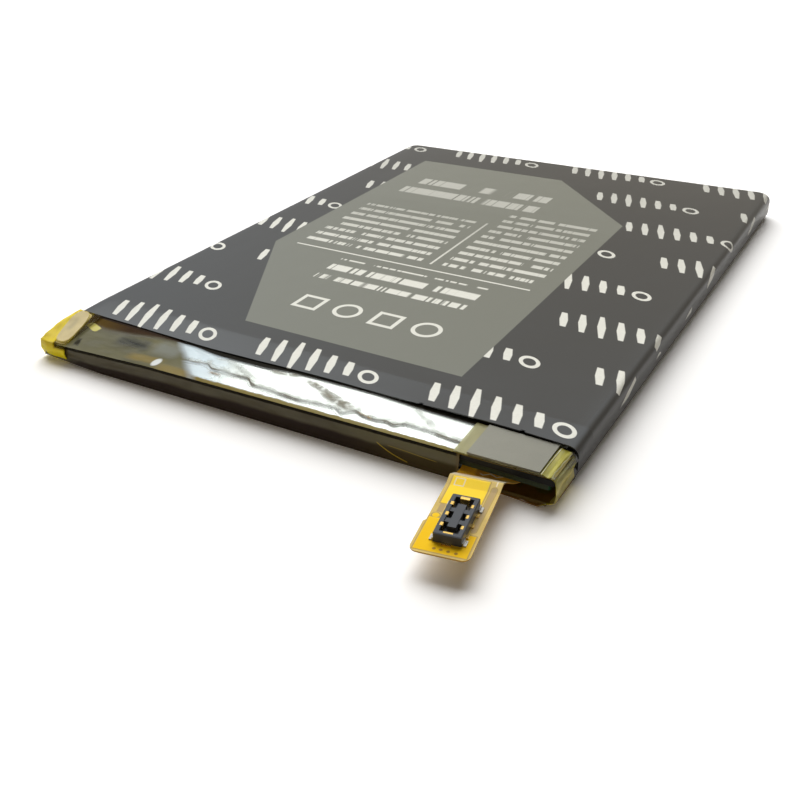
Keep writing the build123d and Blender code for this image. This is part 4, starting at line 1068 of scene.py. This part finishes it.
# Its panel: a grey field with two corners cut off, filled with broken lines, blocks and plain round and
# square marks.
panel_left, panel_right = -23.5, 16.0
panel_near, panel_far = -32.5, 30.5
from_left = x - panel_left
from_near = y - panel_near
corner_near = from_left * 0.873 + from_near * 0.487 - 10.48
corner_far = 24.65 - (x + y + 3.5) * 0.7071
panel_edge = from_left.least(panel_right - x).least(from_near).least(panel_far - y).least(corner_near)
panel_edge = panel_edge.least(corner_far)
panel = panel_edge.rise(-0.06, 0.06) * label_side
area_left = printed_film.field(x, y, -20.5, -2.5, -8.5, 8.0, 0.05)
area_right = printed_film.field(x, y, 0.5, 13.5, -8.5, 13.5, 0.05)
area_near = printed_film.field(x, y, -12.0, 9.0, -18.6, -12.0, 0.05)
area_far = printed_film.field(x, y, -19.5, 3.0, 13.8, 23.0, 0.05)
thin_lines = lines(x, y, 2.2, 0.42, 1.7, 0.0) * area_left.most(area_right)
bold_lines = (lines(x, y, 3.3, 0.5, 3.0, 4.0) * area_near).most(lines(x, y, 4.6, 0.56, 3.6, 9.0) * area_far)
mark_pitch = 5.2
marks_y = -25.0
cell_x = (x % mark_pitch) - mark_pitch / 2
cell_y = y - marks_y
mark_row = printed_film.field(
    x, cell_y, -2 * mark_pitch, 2 * mark_pitch, -mark_pitch / 2, mark_pitch / 2, 0.02
)
away = cell_x.squared() + cell_y.squared()
round_mark = away.rise(3.3, 3.0) * away.rise(1.5, 1.8)
square = abs(cell_x).most(abs(cell_y))
square_mark = square.rise(1.75, 1.65) * square.rise(1.15, 1.25)
odd = ((x / mark_pitch).floor() % 2.0) > 0.5
plain_marks = mark_row * (odd * round_mark + (1 - odd) * square_mark)
table_line = printed_film.field(x, y, -20.5, 13.5, -10.3, -10.0, 0.04)
table_line = table_line.most(printed_film.field(x, y, -1.1, -0.8, -8.5, 8.0, 0.04))
panel_print = thin_lines.most(bold_lines, plain_marks, table_line) * panel
scattered = bars(round_x, y, 21.0, 10.4) * (1 - panel)
panel_print = panel_print * (1 - 0.5 * y.rise(-14, 10))
scattered = scattered * (1 - 0.3 * y.rise(-10, 35))
ink = panel_print.most(scattered * label_side)
dust = printed_film.noise((x, y, z), 0.35, 3)
base = panel.mix((0.0085, 0.0082, 0.008), (0.137, 0.142, 0.114))
film_colour = ink.mix(base, dust.mix((0.66, 0.66, 0.60), (0.78, 0.78, 0.70)))
waves = printed_film.noise((x, y * 0.6, z), 11.0, 2)
near_waves = printed_film.noise((x * 0.3, y, z), 2.5, 2) * y.rise(-33, -38.5)
seam = x.rise(7.9, 8.1) * z.rise(0.3, 0.1)
sag = (mouth_y + sag_reach - y).most(0.0) * z.rise(2.0, 3.0)
relief = 0.5 * waves + 0.12 * near_waves + 0.03 * ink + 0.06 * seam - 0.18 * sag
printed_film.done(
    printed_film.surface(
        film_colour,
        Roughness=0.29,
        Normal=printed_film.bumps(relief, 0.5, 0.6),
    )
)
film_sleeve.data.materials.append(printed_film.material)
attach(film_sleeve, "root")
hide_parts("label_film")
